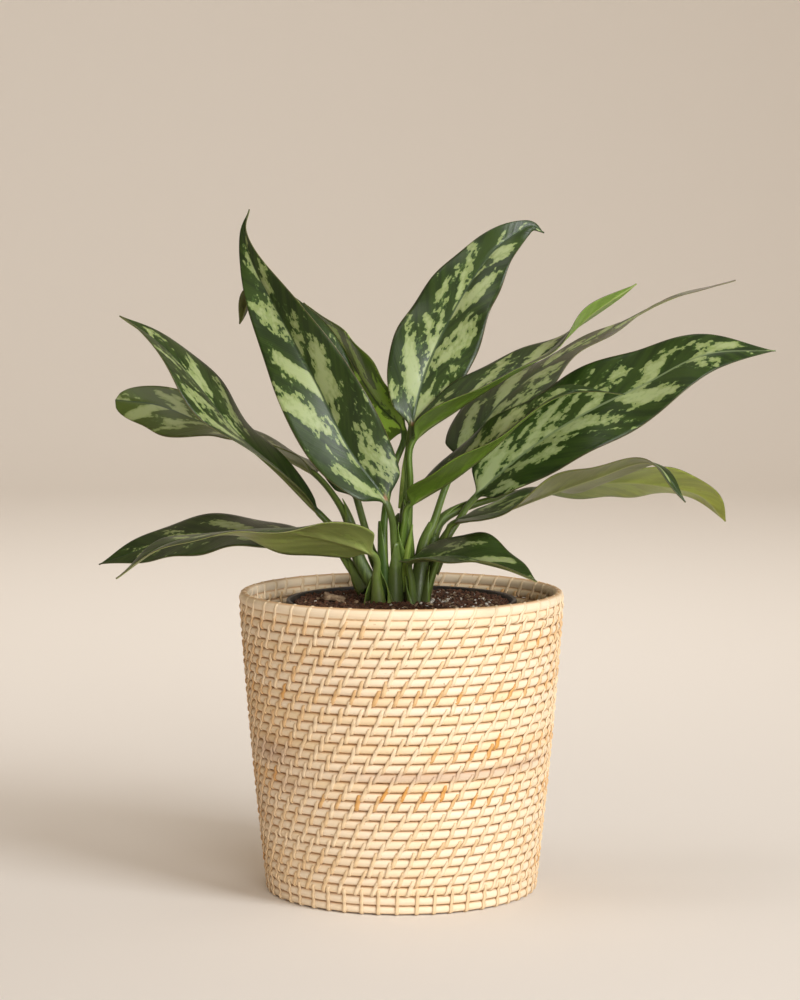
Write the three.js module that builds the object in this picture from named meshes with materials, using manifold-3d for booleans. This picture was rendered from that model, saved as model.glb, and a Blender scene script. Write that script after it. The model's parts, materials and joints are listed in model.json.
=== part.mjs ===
// Potted Chinese evergreen: a leafy plant in a black nursery pot that stands in a coiled rattan basket.
// Millimetres, +Z up. The origin is the middle of the basket's flat underside; +X is the plant's right
// as the long-tailed leaves point, and -Y is the front.

import * as THREE from 'three';
import { mergeVertices } from 'three/addons/utils/BufferGeometryUtils.js';
import Module from 'manifold-3d';

const wasm = await Module();
wasm.setup();

// ---------------------------------------------------------------- driving dimensions

const SEAT = 0.3; // clearance between pieces that rest on or stand in each other
const CURVE_STEPS = 24; // straight steps in which each stretch of a curved centre line is measured
const SAME_PLACE = 1e-4; // points closer than this are one point

const BASKET = {
  height: 207,
  rimRadius: 112, // outside, at the crest of the rim rod
  footRadius: 93.2, // outside, at the crest of the lowest rod
  belly: 1.2, // how far the wall bulges between foot and rim
  rows: 31, // turns of rod between the underside and the rim rod
  relief: 1.3, // depth of the groove between two turns
  footInset: 3.2, // how far inside the lowest rod the flat underside ends
  rimSection: [-35, 0, 40, 90, 140, 190], // degrees round the rim rod, from outside over the top
  wall: 6.4, // one rod thick
  floor: 6.6,
  segments: 36,
};

const POT = {
  top: 200,
  rimRadius: 79,
  rimDepth: 9,
  rimWall: 2.6,
  rimLedge: 0.6, // how far the rim's underside rises outwards
  mouthRadius: 76.4, // outside of the wall, carried on to the height of the rim
  footRadius: 60,
  footChamfer: 2,
  wall: 1.5,
  segments: 28,
};

const SOIL = {
  edge: 196.6, // height of the soil where it meets the pot
  crown: 197.4, // height of the soil around the stems
  lump: 0.6, // how far the lumpy surface rises and falls
  lumpPitch: 34, // from one lump to the next
  hub: 1, // radius of the middle ring
  rings: 3,
  segments: POT.segments,
};

const BLADE = {
  stations: [0, 0.015, 0.05, 0.12, 0.21, 0.31, 0.41, 0.51, 0.61, 0.71, 0.8, 0.88, 0.95, 1],
  across: [-1, -0.55, -0.12, 0, 0.12, 0.55, 1], // shares of the half width, left margin to right margin
  marginThickness: 0.7,
  middleThickness: 1.1,
  curl: 12, // degrees by which each half bends down from the midrib to its margin
  ribSink: 0.3, // how deep the midrib lies below the upper side
  keel: 2, // how far the midrib stands out below at the blade's base
  tipRadius: 0.8,
  roundness: 0.43, // power that rounds the blade's base, unless the leaf gives its own
  shoulder: 1.75, // power that keeps the blade full before it tapers, unless the leaf gives its own
  waveFade: 0.7, // power that stills the margin's wave towards base and tip
  wavesApart: 0.31, // how far the right margin's wave runs ahead of the left one's, in waves
};

const STALK = {
  stations: 6,
  radius: 2.5, // where it carries the blade
  sheath: 3.4, // radius of the clasping foot, unless the leaf gives its own
  sheathShare: 0.77, // share of the stalk over which the sheath narrows
  flatness: 0.86, // depth of the section as a share of its width
};

// The three canes, from the soil up: centre line and radius at foot and top.
const CANES = {
  cane_left: { line: [[-15, -1, 120], [-17, -1, 196], [-28, 1, 225], [-40, 4, 250]], radii: [6.5, 4] },
  cane_centre: { line: [[-1, 7, 118], [-1, 7, 196], [-1.5, 8, 228], [-2, 9, 258]], radii: [6, 3.6] },
  cane_right: { line: [[12, 3, 122], [12, 3, 196], [17, 5, 220], [23, 8, 244]], radii: [5.5, 3.6] },
};

// Each leaf: the stalk's points from the cane up, the midrib's points from the blade's base to its tip,
// the largest half width, where along the blade that lies, how sharply the blade tapers, the way that
// the upper side faces at even steps from base to tip, how far each half is folded up from flat
// (degrees, base to tip), and the margin's wave (height, number of waves, where the first one starts).
const LEAVES = {
  leaf_upright_left: {
    stalk: [[-4.5, -3.5, 187], [-5, -8, 237]],
    rib: [[-10, -16, 267], [-36, -11, 304], [-57, -1, 346], [-79, 10, 386], [-100, 23, 424],
      [-108, 31, 449], [-105, 36, 466]],
    half: 31, widest: 0.3, taper: 1.25,
    face: [[0.2, -0.9, 0.4], [-0.2, -1, 0.1], [-0.4, -0.9, 0.3]],
    left: [25, 25, 20, 15], right: [20, 30, 30, 50],
    wave: [2.2, 3, 0.1],
  },
  leaf_upright_behind: {
    stalk: [[-10.5, -1, 188], [-12, -5, 235], [-11, 1, 262], [-5, 10, 290]],
    rib: [[2, 18, 313], [-14, 38, 329], [-27, 58, 347], [-39, 77, 366], [-54, 93, 384], [-70, 107, 400]],
    half: 27, widest: 0.38, taper: 1.3,
    face: [[-0.8, -0.6, 0.1], [-0.8, -0.5, 0.1], [-0.8, -0.5, 0]],
    left: [15, 15, 15, 15], right: [25, 25, 30, 30],
    wave: [1.6, 3, 0.4],
  },
  leaf_upright_right: {
    stalk: [[4.5, 2.5, 226], [3, 4, 250], [3, 6, 278]],
    rib: [[7, 8, 317], [15, 25, 349], [28, 41, 379], [44, 56, 408], [64, 71, 436], [89, 84, 454], [101, 88, 450]],
    half: 30, widest: 0.37, taper: 1.05,
    face: [[0.2, -0.9, 0.4], [-0.2, -0.8, 0.5], [0.2, -0.9, 0.4]],
    left: [20, 15, 5, 10], right: [5, 10, 15, 10],
    wave: [2.6, 3.5, 0.2],
  },
  leaf_folded_high: {
    stalk: [[3.5, -1.5, 228], [5, -4, 255], [6, -7, 280]],
    rib: [[8, -7, 309], [37, -7, 331], [69, -3, 351], [102, 3, 370], [129, 9, 394], [161, 15, 415]],
    half: 25, widest: 0.32, taper: 1.15,
    face: [[-0.6, -0.2, 0.8], [-0.5, -0.35, 0.8], [-0.2, 0.85, 0.4]],
    left: [25, 15, 10, 10], right: [50, 33, 15, 10],
    wave: [1.4, 3, 0.6],
  },
  leaf_long_tail: {
    stalk: [[10, -4, 187], [12.5, -4, 213], [15.5, 0, 236], [22.5, 6, 253], [31, 14, 277]],
    rib: [[40, 22, 292], [67, 50, 329], [105, 72, 358], [148, 88, 381], [192, 102, 403], [240, 114, 416]],
    half: 31, widest: 0.3, shoulder: 1, taper: 2.7, sheath: 4,
    face: [[-0.3, -0.7, 0.7], [-0.4, -0.4, 0.9], [-0.2, -0.4, 0.9]],
    left: [5, -5, 0, 5], right: [5, 5, 10, 15],
    wave: [1.8, 3.5, 0.3],
  },
  leaf_broad_right: {
    stalk: [[20, 3, 218], [29, 7, 237], [40, 10, 254]],
    rib: [[51, 10, 269], [85, 5, 300], [123, -3, 326], [164, -11, 347], [205, -21, 368], [251, -30, 371]],
    half: 32, widest: 0.39, taper: 1.15,
    face: [[-0.6, -0.7, 0.5], [-0.4, -0.8, 0.4], [-0.2, -0.9, 0.4]],
    left: [32, 10, 10, 10], right: [15, 10, 10, 15],
    wave: [2, 3.2, 0.75],
  },
  leaf_folded_middle: {
    stalk: [[0, -1.5, 226], [0.5, -6, 240], [2, -9, 253]],
    rib: [[6, -11, 266], [33, -24, 284], [59, -38, 305], [83, -52, 328], [112, -64, 346], [147, -73, 344]],
    half: 26, widest: 0.28, shoulder: 1.3, taper: 1.9,
    face: [[-0.5, 0, 0.8], [-0.7, -0.3, 0.6], [-0.1, -0.8, 0.6]],
    left: [25, 25, 35, 40], right: [40, 40, 30, 20],
    wave: [1.6, 3, 0.9],
  },
  leaf_twisted_low: {
    stalk: [[14, -6, 187], [20, -8, 213], [26, -9, 231], [31, -11, 246]],
    rib: [[37, -15, 254], [63, -31, 262], [94, -47, 275], [128, -60, 288], [164, -74, 299], [186, -86, 274]],
    half: 28, widest: 0.32, taper: 1.15,
    face: [[0.2, -0.5, 0.8], [-0.1, -0.3, 0.95], [-0.3, 0.4, 0.85], [-0.2, 0.35, 0.9], [0.7, -0.6, 0.5]],
    left: [0, 5, 5, 10], right: [25, 10, 5, 0],
    wave: [1.4, 3, 0.5],
  },
  leaf_arching_low: {
    stalk: [[19, 11, 230], [24, 16, 246], [36, 20, 257], [66, 26, 267]],
    rib: [[98, 30, 273], [126, 37, 276], [157, 44, 277], [186, 52, 273], [212, 62, 265], [230, 74, 246]],
    half: 26, widest: 0.46, taper: 0.9,
    face: [[-0.2, 0.45, 0.85], [0.1, 0.62, 0.78], [0.6, 0.6, 0.5]],
    left: [5, 5, 20, 20], right: [-5, -5, 0, 5],
    wave: [1.4, 3, 0.2],
  },
  leaf_small_front: {
    stalk: [[9, -10, 188], [7, -13, 212]],
    rib: [[6, -17, 227], [21, -37, 232], [37, -58, 235], [53, -80, 234], [71, -101, 231], [87, -121, 226]],
    half: 25, widest: 0.37, taper: 1.05,
    face: [[-0.4, -0.1, 0.9], [-0.2, -0.2, 1], [0.3, 0, 1]],
    left: [15, 20, 20, 20], right: [25, 20, 20, 25],
    wave: [1.4, 2.5, 0.1],
  },
  leaf_low_left_rear: {
    stalk: [[-24, 5, 205], [-36, 11, 221]],
    rib: [[-49, 16, 234], [-83, 30, 239], [-117, 44, 242], [-151, 58, 236], [-184, 71, 226], [-216, 84, 214]],
    half: 28, widest: 0.4, taper: 1.2, sheath: 5,
    face: [[0.1, -0.1, 1], [-0.3, -0.4, 0.9], [-0.5, -0.7, 0.5]],
    left: [10, 5, 5, 10], right: [5, -5, 5, 15],
    wave: [1.8, 3, 0.3],
  },
  leaf_low_left_front: {
    stalk: [[-15, -10, 187], [-17, -14, 214]],
    rib: [[-20, -20, 233], [-53, -32, 246], [-88, -44, 252], [-124, -55, 250], [-158, -67, 243], [-188, -80, 223]],
    half: 31, widest: 0.34, taper: 1.2, sheath: 6.5,
    face: [[0.1, 0.75, 0.65], [-0.1, 0.1, 1], [-0.5, -0.2, 0.85]],
    left: [10, -5, 5, 15], right: [15, -10, 5, 15],
    wave: [1.8, 3, 0.55],
  },
  leaf_high_left: {
    stalk: [[-38, 0, 240]],
    rib: [[-56, 3, 258], [-83, 5, 286], [-112, 9, 312], [-137, 14, 342], [-163, 19, 371], [-194, 23, 393]],
    half: 31, roundness: 1, widest: 0.58, taper: 1.2,
    face: [[0.5, -0.5, 0.7], [0.7, 0, 0.7], [0.7, -0.17, 0.7], [0.6, -0.25, 0.75], [0.5, 0, 0.8]],
    left: [50, 0, 0, 20], right: [40, 20, 10, 25],
    wave: [1.8, 3, 0.1],
  },
  leaf_middle_left: {
    stalk: [[-33, 9, 240], [-42, 16, 262]],
    rib: [[-61, 30, 284], [-88, 55, 296], [-116, 75, 307], [-146, 86, 317], [-175, 101, 327], [-206, 112, 330]],
    half: 28, widest: 0.4, taper: 0.45,
    face: [[-0.1, 0.6, 0.8], [0.1, 0.1, 0.95], [0.2, -0.2, 0.9], [-0.1, -0.5, 0.7], [-0.4, -0.8, 0.5]],
    left: [20, 10, -5, -5], right: [15, 5, -5, 0],
    wave: [1.6, 3, 0.7],
  },
  leaf_drooping_rear: {
    stalk: [[-8, 11, 205], [-19, 12, 228], [-26, 17, 250]],
    rib: [[-31, 24, 267], [-40, 30, 297], [-50, 38, 327], [-60, 47, 357], [-75, 56, 385], [-102, 66, 409], [-114, 70, 386]],
    half: 25, widest: 0.42, taper: 0.9,
    face: [[-0.2, -1, 0.2], [0.4, -0.9, 0.4], [-0.5, 0.5, 0.7]],
    left: [10, 15, 20, 20], right: [10, 10, 15, 15],
    wave: [1.6, 3, 0.4],
  },
};

// Young leaves that are still rolled up: centre line and radius at foot, middle and tip.
const YOUNG_LEAVES = {
  young_leaf_front: { line: [[1, -3, 205], [3, -7, 226], [7.5, -11, 252]], radii: [1.6, 2.6, 0.6] },
  young_leaf_spike: { line: [[-1, 3, 262], [0.5, 0, 280], [3.4, -3, 305]], radii: [1.5, 1.5, 0.5] },
};

const COLOURS = {
  basket: { color: 0xe9c894, roughness: 0.62 },
  pot: { color: 0x1b1b1b, roughness: 0.5 },
  soil: { color: 0x3c2a20, roughness: 1 },
  cane: { color: 0x6a7a3c, roughness: 0.6 },
  leaf: { color: 0x3f5c2c, roughness: 0.42 },
  young: { color: 0x9aae3f, roughness: 0.45 },
};

// ---------------------------------------------------------------- small helpers

const radians = THREE.MathUtils.degToRad;
const vector = (triple) => new THREE.Vector3(...triple);

/** A closed three.js geometry as a solid for joining and cutting. */
function toSolid(geometry) {
  const bare = geometry.clone();
  bare.deleteAttribute('normal');
  bare.deleteAttribute('uv');
  const merged = mergeVertices(bare, SAME_PLACE);
  return new wasm.Manifold(new wasm.Mesh({
    numProp: 3,
    vertProperties: new Float32Array(merged.attributes.position.array),
    triVerts: new Uint32Array(merged.index.array),
  }));
}

/** A solid as a three.js geometry. */
function toGeometry(solid) {
  const mesh = solid.getMesh();
  const geometry = new THREE.BufferGeometry();
  geometry.setAttribute('position', new THREE.BufferAttribute(new Float32Array(mesh.vertProperties), 3));
  geometry.setIndex(new THREE.BufferAttribute(new Uint32Array(mesh.triVerts), 1));
  geometry.computeVertexNormals();
  return geometry;
}

/** The largest body of a solid, so that no scrap is left beside a cut. */
function largestBody(solid) {
  const bodies = solid.decompose();
  return bodies.reduce((best, body) => (body.volume() > best.volume() ? body : best));
}

/** Values given at even steps from 0 to 1, read smoothly at t. */
function along(values, t) {
  const curve = new THREE.CatmullRomCurve3(values.map((value) => new THREE.Vector3(value, 0, 0)),
    false, 'catmullrom', 0.5);
  return curve.getPoint(t).x;
}

/** A smooth step from 0 to 1. */
const ease = (share) => THREE.MathUtils.smoothstep(share, 0, 1);

/** Points at the given shares of the length of a polyline. */
function pointsAtShares(polyline, shares) {
  const lengths = [0];
  for (let i = 1; i < polyline.length; i += 1) {
    lengths.push(lengths[i - 1] + polyline[i].distanceTo(polyline[i - 1]));
  }
  const total = lengths[lengths.length - 1];
  return shares.map((share) => {
    const reach = Math.min(Math.max(share, 0), 1) * total;
    let i = 1;
    while (i < lengths.length - 1 && lengths[i] < reach) i += 1;
    const step = (reach - lengths[i - 1]) / (lengths[i] - lengths[i - 1]);
    return polyline[i - 1].clone().lerp(polyline[i], step);
  });
}

/** Unit tangents of a row of points. */
function tangentsOf(points) {
  return points.map((point, i) => {
    const before = points[Math.max(i - 1, 0)];
    const after = points[Math.min(i + 1, points.length - 1)];
    return after.clone().sub(before).normalize();
  });
}

/** What is left of a direction once its part along a unit vector is taken off, at unit length. */
function squareTo(direction, unit) {
  return direction.clone().addScaledVector(unit, -direction.dot(unit)).normalize();
}

/**
 * A closed body lofted through rings of points that all have the same count. diagonals says, for each
 * step round the ring, which way its quads are split, so that the two faces of a blade are split alike.
 */
function loft(rings, diagonals) {
  const count = rings[0].length;
  const positions = rings.flat().flatMap((point) => point.toArray());
  const index = [];
  for (let i = 0; i < rings.length - 1; i += 1) {
    for (let j = 0; j < count; j += 1) {
      const k = (j + 1) % count;
      const [a, b, c, d] = [i * count + j, i * count + k, (i + 1) * count + k, (i + 1) * count + j];
      if (diagonals(j)) index.push(a, b, c, a, c, d);
      else index.push(a, b, d, b, c, d);
    }
  }
  const last = (rings.length - 1) * count;
  for (let j = 1; j < count - 1; j += 1) {
    index.push(0, j + 1, j);
    index.push(last, last + j, last + j + 1);
  }
  const geometry = new THREE.BufferGeometry();
  geometry.setAttribute('position', new THREE.Float32BufferAttribute(positions, 3));
  geometry.setIndex(index);
  return geometry;
}

/** A body turned round the upright axis from pairs of radius and height. */
function turned(profile, segments) {
  const points = profile.map(([radius, z]) => new THREE.Vector2(radius, z));
  return new THREE.LatheGeometry(points, segments).rotateX(Math.PI / 2);
}

/** The two ends of a row of points moved outwards along their tangents. */
function stretchEnds(points, tangents, extra) {
  points[0].addScaledVector(tangents[0], -extra);
  points[points.length - 1].addScaledVector(tangents[points.length - 1], extra);
}

/** A round body along a line of points, its radius read from a list, or the same grown all round by extra. */
function taperedRod(line, radii, { sides = 12, steps = 9, extra = 0 } = {}) {
  const curve = new THREE.CatmullRomCurve3(line.map(vector), false, 'catmullrom', 0.5);
  const shares = Array.from({ length: steps }, (_, i) => i / (steps - 1));
  const points = pointsAtShares(curve.getPoints((line.length - 1) * CURVE_STEPS), shares);
  const tangents = tangentsOf(points);
  stretchEnds(points, tangents, extra);
  const rings = points.map((point, i) => {
    const right = squareTo(new THREE.Vector3(1, 0, 0), tangents[i]);
    const back = new THREE.Vector3().crossVectors(tangents[i], right);
    const radius = along(radii, shares[i]) + extra;
    return Array.from({ length: sides }, (_, j) => {
      const angle = (j / sides) * 2 * Math.PI;
      return point.clone()
        .addScaledVector(right, radius * Math.cos(angle))
        .addScaledVector(back, radius * Math.sin(angle));
    });
  });
  return loft(rings, () => true);
}

// ---------------------------------------------------------------- basket

/** Turned shape of the coiled basket: a ridge for each turn of rod, a rim rod, a plain inside. */
function basketGeometry() {
  const { height, rimRadius, footRadius, belly, rows, relief, wall, floor, segments } = BASKET;
  const { footInset, rimSection } = BASKET;
  const rod = (height - relief) / (rows + 1);
  const outside = (z) => {
    const share = z / height;
    return THREE.MathUtils.lerp(footRadius, rimRadius, share) + belly * Math.sin(Math.PI * share);
  };
  const profile = [[0, 0], [outside(0) - footInset, 0]];
  for (let row = 0; row < rows; row += 1) {
    const middle = rod * (row + 0.5);
    profile.push([outside(middle), middle]);
    profile.push([outside(middle + rod / 2) - relief, middle + rod / 2]);
  }
  const rimMiddle = rod * (rows + 0.5);
  const rimCentre = rimRadius - wall / 2;
  for (const angle of rimSection.map(radians)) {
    profile.push([
      rimCentre + (wall / 2) * Math.cos(angle),
      rimMiddle + (height - rimMiddle) * Math.sin(angle),
    ]);
  }
  profile.push([outside(floor) - wall - relief, floor]);
  profile.push([0, floor]);
  return turned(profile, segments);
}

// ---------------------------------------------------------------- nursery pot and soil

/** Outside radius of the nursery pot's wall at a height. */
function potRadius(z) {
  const foot = BASKET.floor + SEAT;
  return THREE.MathUtils.mapLinear(z, foot, POT.top, POT.footRadius, POT.mouthRadius);
}

/** Turned shape of the thin pot with its stepped rim. */
function potGeometry() {
  const { top, rimRadius, rimDepth, rimLedge, rimWall, footChamfer, wall, segments } = POT;
  const foot = BASKET.floor + SEAT;
  const step = top - rimDepth;
  const profile = [
    [0, foot],
    [potRadius(foot) - footChamfer, foot],
    [potRadius(foot), foot + footChamfer],
    [potRadius(step), step],
    [rimRadius, step + rimLedge],
    [rimRadius, top],
    [rimRadius - rimWall, top],
    [potRadius(step) - wall, step],
    [potRadius(foot + wall) - wall, foot + wall],
    [0, foot + wall],
  ];
  return turned(profile, segments);
}

/** Height of the lumpy soil surface at a place. */
function soilHeight(x, y) {
  const share = Math.min(Math.hypot(x, y) / (POT.rimRadius - POT.rimWall), 1);
  const turn = (2 * Math.PI) / SOIL.lumpPitch;
  const lumps = Math.sin(x * turn) * Math.cos(y * turn);
  return THREE.MathUtils.lerp(SOIL.crown, SOIL.edge, share ** 2) + SOIL.lump * lumps * (1 - share);
}

/** The soil: a plug that fills the pot, with a lumpy top, before its holes are cut. */
function soilBlank() {
  const { rings, segments, edge, hub } = SOIL;
  const bottom = BASKET.floor + SEAT + POT.wall + SEAT;
  const inner = (z) => potRadius(z) - POT.wall - SEAT;
  const ringAt = (radius, heightAt) => Array.from({ length: segments }, (_, j) => {
    const angle = (j / segments) * 2 * Math.PI;
    const [x, y] = [radius * Math.cos(angle), radius * Math.sin(angle)];
    return new THREE.Vector3(x, y, heightAt(x, y));
  });
  const step = POT.top - POT.rimDepth;
  const layers = [
    ringAt(hub, () => bottom),
    ringAt(inner(bottom), () => bottom),
    ringAt(inner(step - SEAT), () => step - SEAT),
  ];
  for (let i = rings; i > 0; i -= 1) {
    const radius = (inner(edge) * i) / rings;
    layers.push(ringAt(radius, (x, y) => (i === rings ? edge : soilHeight(x, y))));
  }
  layers.push(ringAt(hub, soilHeight));
  return loft(layers, () => true);
}

// ---------------------------------------------------------------- leaves

/** Half width of a blade at a share of its length: round base, widest part, pointed tip. */
function halfWidth(leaf, t) {
  const { half, widest, taper, roundness = BLADE.roundness, shoulder = BLADE.shoulder } = leaf;
  if (t < widest) {
    const share = t / widest;
    return half * (1 - (1 - share) ** 2) ** roundness;
  }
  const share = (t - widest) / (1 - widest);
  return half * (1 - share ** shoulder) ** taper;
}

/** Centre line, tangents and facing of one leaf, stalk and blade together. */
function leafFrames(leaf) {
  const curve = new THREE.CatmullRomCurve3([...leaf.stalk, ...leaf.rib].map(vector),
    false, 'catmullrom', 0.5);
  const pieces = leaf.stalk.length + leaf.rib.length - 1;
  const fine = curve.getPoints(pieces * CURVE_STEPS);
  const start = leaf.stalk.length * CURVE_STEPS;
  const stalkShares = Array.from({ length: STALK.stations }, (_, i) => i / STALK.stations);
  const stalk = pointsAtShares(fine.slice(0, start + 1), stalkShares);
  const blade = pointsAtShares(fine.slice(start), BLADE.stations);
  const points = [...stalk, ...blade];
  const tangents = tangentsOf(points);
  const facings = [];
  for (let i = points.length - 1; i >= 0; i -= 1) {
    const t = i < stalk.length ? 0 : BLADE.stations[i - stalk.length];
    const wanted = i < stalk.length
      ? facings[0].clone()
      : new THREE.Vector3(...[0, 1, 2].map((axis) => along(leaf.face.map((face) => face[axis]), t)));
    facings.unshift(squareTo(wanted, tangents[i]));
  }
  return { points, tangents, facings, stalkCount: stalk.length };
}

/** The ring of points round a stalk: an oval with as many points as a blade's section. */
function stalkRing(point, right, facing, width, depth) {
  const count = BLADE.across.length * 2;
  return Array.from({ length: count }, (_, j) => {
    const angle = Math.PI - ((j + 0.5) / count) * 2 * Math.PI;
    return point.clone()
      .addScaledVector(right, width * Math.cos(angle))
      .addScaledVector(facing, depth * Math.sin(angle));
  });
}

/** One point on a blade's upper (+1) or lower (-1) face. */
function bladePoint(leaf, t, place, face, point, right, facing) {
  const side = Math.sign(place);
  const share = Math.abs(place);
  const curl = radians(BLADE.curl);
  const lift = radians(along(side < 0 ? leaf.left : leaf.right, t)) + curl / 4;
  const width = Math.max(halfWidth(leaf, t), BLADE.tipRadius);
  const out = (width * (Math.sin(lift) - Math.sin(lift - curl * share))) / curl;
  const up = (width * (Math.cos(lift - curl * share) - Math.cos(lift))) / curl;
  const [height, count, phase] = leaf.wave;
  const turn = 2 * Math.PI * (count * t + phase + (side > 0 ? BLADE.wavesApart : 0));
  const wave = height * share ** 2 * Math.sin(turn) * Math.sin(Math.PI * t) ** BLADE.waveFade;
  const slope = side === 0 ? 0 : lift - curl * share;
  const thickness = THREE.MathUtils.lerp(BLADE.middleThickness, BLADE.marginThickness, share);
  const rib = side === 0 ? (face > 0 ? -BLADE.ribSink : -BLADE.keel * (1 - t)) : 0;
  return point.clone()
    .addScaledVector(right, side * out - side * Math.sin(slope) * (thickness / 2) * face)
    .addScaledVector(facing, up + wave + Math.cos(slope) * (thickness / 2) * face + rib);
}

/** Radius of a stalk at a share of its height: a clasping sheath below, slim above. */
function stalkRadius(leaf, share) {
  return THREE.MathUtils.lerp(leaf.sheath ?? STALK.sheath, STALK.radius, ease(share / STALK.sheathShare));
}

/** A leaf as one closed body, or, with extra above 0, the stalk alone grown all round by that much. */
function leafGeometry(leaf, extra = 0) {
  const { points, tangents, facings, stalkCount } = leafFrames(leaf);
  stretchEnds(points, tangents, extra);
  const rings = [];
  const last = extra > 0 ? stalkCount + 1 : points.length;
  for (let i = 0; i < last; i += 1) {
    const [point, facing] = [points[i], facings[i]];
    const right = new THREE.Vector3().crossVectors(tangents[i], facing);
    const t = i < stalkCount ? 0 : BLADE.stations[i - stalkCount];
    const radius = i < stalkCount ? stalkRadius(leaf, i / stalkCount) : STALK.radius * (1 - t);
    const width = (t === 1 ? BLADE.tipRadius : radius) + extra;
    const depth = (t === 1 ? BLADE.marginThickness / 2 : radius * STALK.flatness) + extra;
    const oval = stalkRing(point, right, facing, width, depth);
    const bladeShare = i < stalkCount || t === 1 ? 0 : ease(t / BLADE.stations[2]);
    if (extra > 0 || bladeShare === 0) {
      rings.push(oval);
      continue;
    }
    const upper = BLADE.across.map((place) => bladePoint(leaf, t, place, 1, point, right, facing));
    const lower = BLADE.across.map((place) => bladePoint(leaf, t, place, -1, point, right, facing));
    rings.push([...upper, ...lower.reverse()].map((flat, j) => oval[j].clone().lerp(flat, bladeShare)));
  }
  const half = BLADE.across.length;
  return loft(rings, (j) => j < half);
}

// ---------------------------------------------------------------- assembly

/** A named mesh with its material. */
function namedMesh(name, geometry, finish) {
  const material = new THREE.MeshStandardMaterial({ metalness: 0, ...finish });
  const mesh = new THREE.Mesh(geometry, material);
  mesh.name = name;
  return mesh;
}

/** A solid with the room of its earlier neighbours cut from it. */
function clearOf(solid, rooms) {
  return rooms.length === 0 ? solid : largestBody(rooms.reduce((rest, room) => rest.subtract(room), solid));
}

const plant = new THREE.Group();
const rooms = [];

plant.add(namedMesh('basket', basketGeometry(), COLOURS.basket));
plant.add(namedMesh('nursery_pot', potGeometry(), COLOURS.pot));

for (const [name, { line, radii }] of Object.entries(CANES)) {
  rooms.push(toSolid(taperedRod(line, radii, { extra: SEAT })));
  plant.add(namedMesh(name, taperedRod(line, radii), COLOURS.cane));
}

for (const [name, leaf] of Object.entries(LEAVES)) {
  const solid = clearOf(toSolid(leafGeometry(leaf)), rooms);
  rooms.push(toSolid(leafGeometry(leaf, SEAT)));
  plant.add(namedMesh(name, toGeometry(solid), COLOURS.leaf));
}

plant.add(namedMesh('soil', toGeometry(clearOf(toSolid(soilBlank()), rooms)), COLOURS.soil));

for (const [name, { line, radii }] of Object.entries(YOUNG_LEAVES)) {
  const solid = clearOf(toSolid(taperedRod(line, radii, { sides: 8 })), rooms);
  plant.add(namedMesh(name, toGeometry(solid), COLOURS.young));
}

export default plant;
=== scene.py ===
"""Potted Chinese evergreen: the looks of the plant, its nursery pot and its coiled rattan basket.

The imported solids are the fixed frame. Every piece here is made in metres in that frame, +Z up, with the
middle of the basket's underside at the origin and the front towards -Y. The tables of the plant are in
millimetres, as the plant was measured, and MM turns them to metres.
"""

import json
import logging
import math
import random
from collections.abc import Iterable, Sequence
from dataclasses import dataclass
from enum import Enum

import bpy
import numpy as np
from mathutils import Matrix, Vector

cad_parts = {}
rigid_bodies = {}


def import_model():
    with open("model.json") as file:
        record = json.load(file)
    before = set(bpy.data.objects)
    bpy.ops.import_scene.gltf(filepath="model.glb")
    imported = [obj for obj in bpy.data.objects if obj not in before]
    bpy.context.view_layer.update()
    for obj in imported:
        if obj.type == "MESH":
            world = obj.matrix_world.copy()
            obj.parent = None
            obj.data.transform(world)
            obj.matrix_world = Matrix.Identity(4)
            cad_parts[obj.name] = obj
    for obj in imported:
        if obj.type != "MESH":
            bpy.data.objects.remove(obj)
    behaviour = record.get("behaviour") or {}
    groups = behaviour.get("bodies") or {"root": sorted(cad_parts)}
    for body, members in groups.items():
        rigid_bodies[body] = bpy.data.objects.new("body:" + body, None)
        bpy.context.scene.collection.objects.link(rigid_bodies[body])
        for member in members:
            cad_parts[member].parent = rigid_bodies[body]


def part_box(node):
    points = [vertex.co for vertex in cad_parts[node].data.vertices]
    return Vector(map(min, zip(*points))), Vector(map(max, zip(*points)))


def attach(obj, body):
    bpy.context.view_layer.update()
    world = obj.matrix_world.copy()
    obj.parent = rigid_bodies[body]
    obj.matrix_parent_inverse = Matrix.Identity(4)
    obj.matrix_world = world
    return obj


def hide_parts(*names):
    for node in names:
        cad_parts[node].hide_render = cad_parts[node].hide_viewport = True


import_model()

log = logging.getLogger("evergreen")

MM = 0.001
FULL_TURN = 2 * math.pi
BODY = "root"  # the part has no joint, so everything rides on one body
MERGE_GAP = 0.2e-6  # metres; a loft's points that lie closer than this are one point
CURVE_PIECES = 24  # straight pieces of a smooth curve between two of its points

Point = tuple[float, float, float]


class Slot(Enum):
    """The record's material slots."""

    RATTAN = "rattan"
    POT = "pot_plastic"
    SOIL = "soil"
    CANE = "cane"
    LEAF = "leaf"
    YOUNG = "young_leaf"


# ---------------------------------------------------------------- small helpers


def linear(hex_code: str) -> tuple[float, float, float, float]:
    """Turns an sRGB hex colour into linear light.

    Args:
        hex_code: Six hex digits after a hash.

    Returns:
        Linear red, green and blue, and an alpha of 1.
    """
    shares = [int(hex_code[i:i + 2], 16) / 255 for i in (1, 3, 5)]
    channels = [s / 12.92 if s <= 0.04045 else ((s + 0.055) / 1.055) ** 2.4 for s in shares]
    return (*channels, 1.0)


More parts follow.
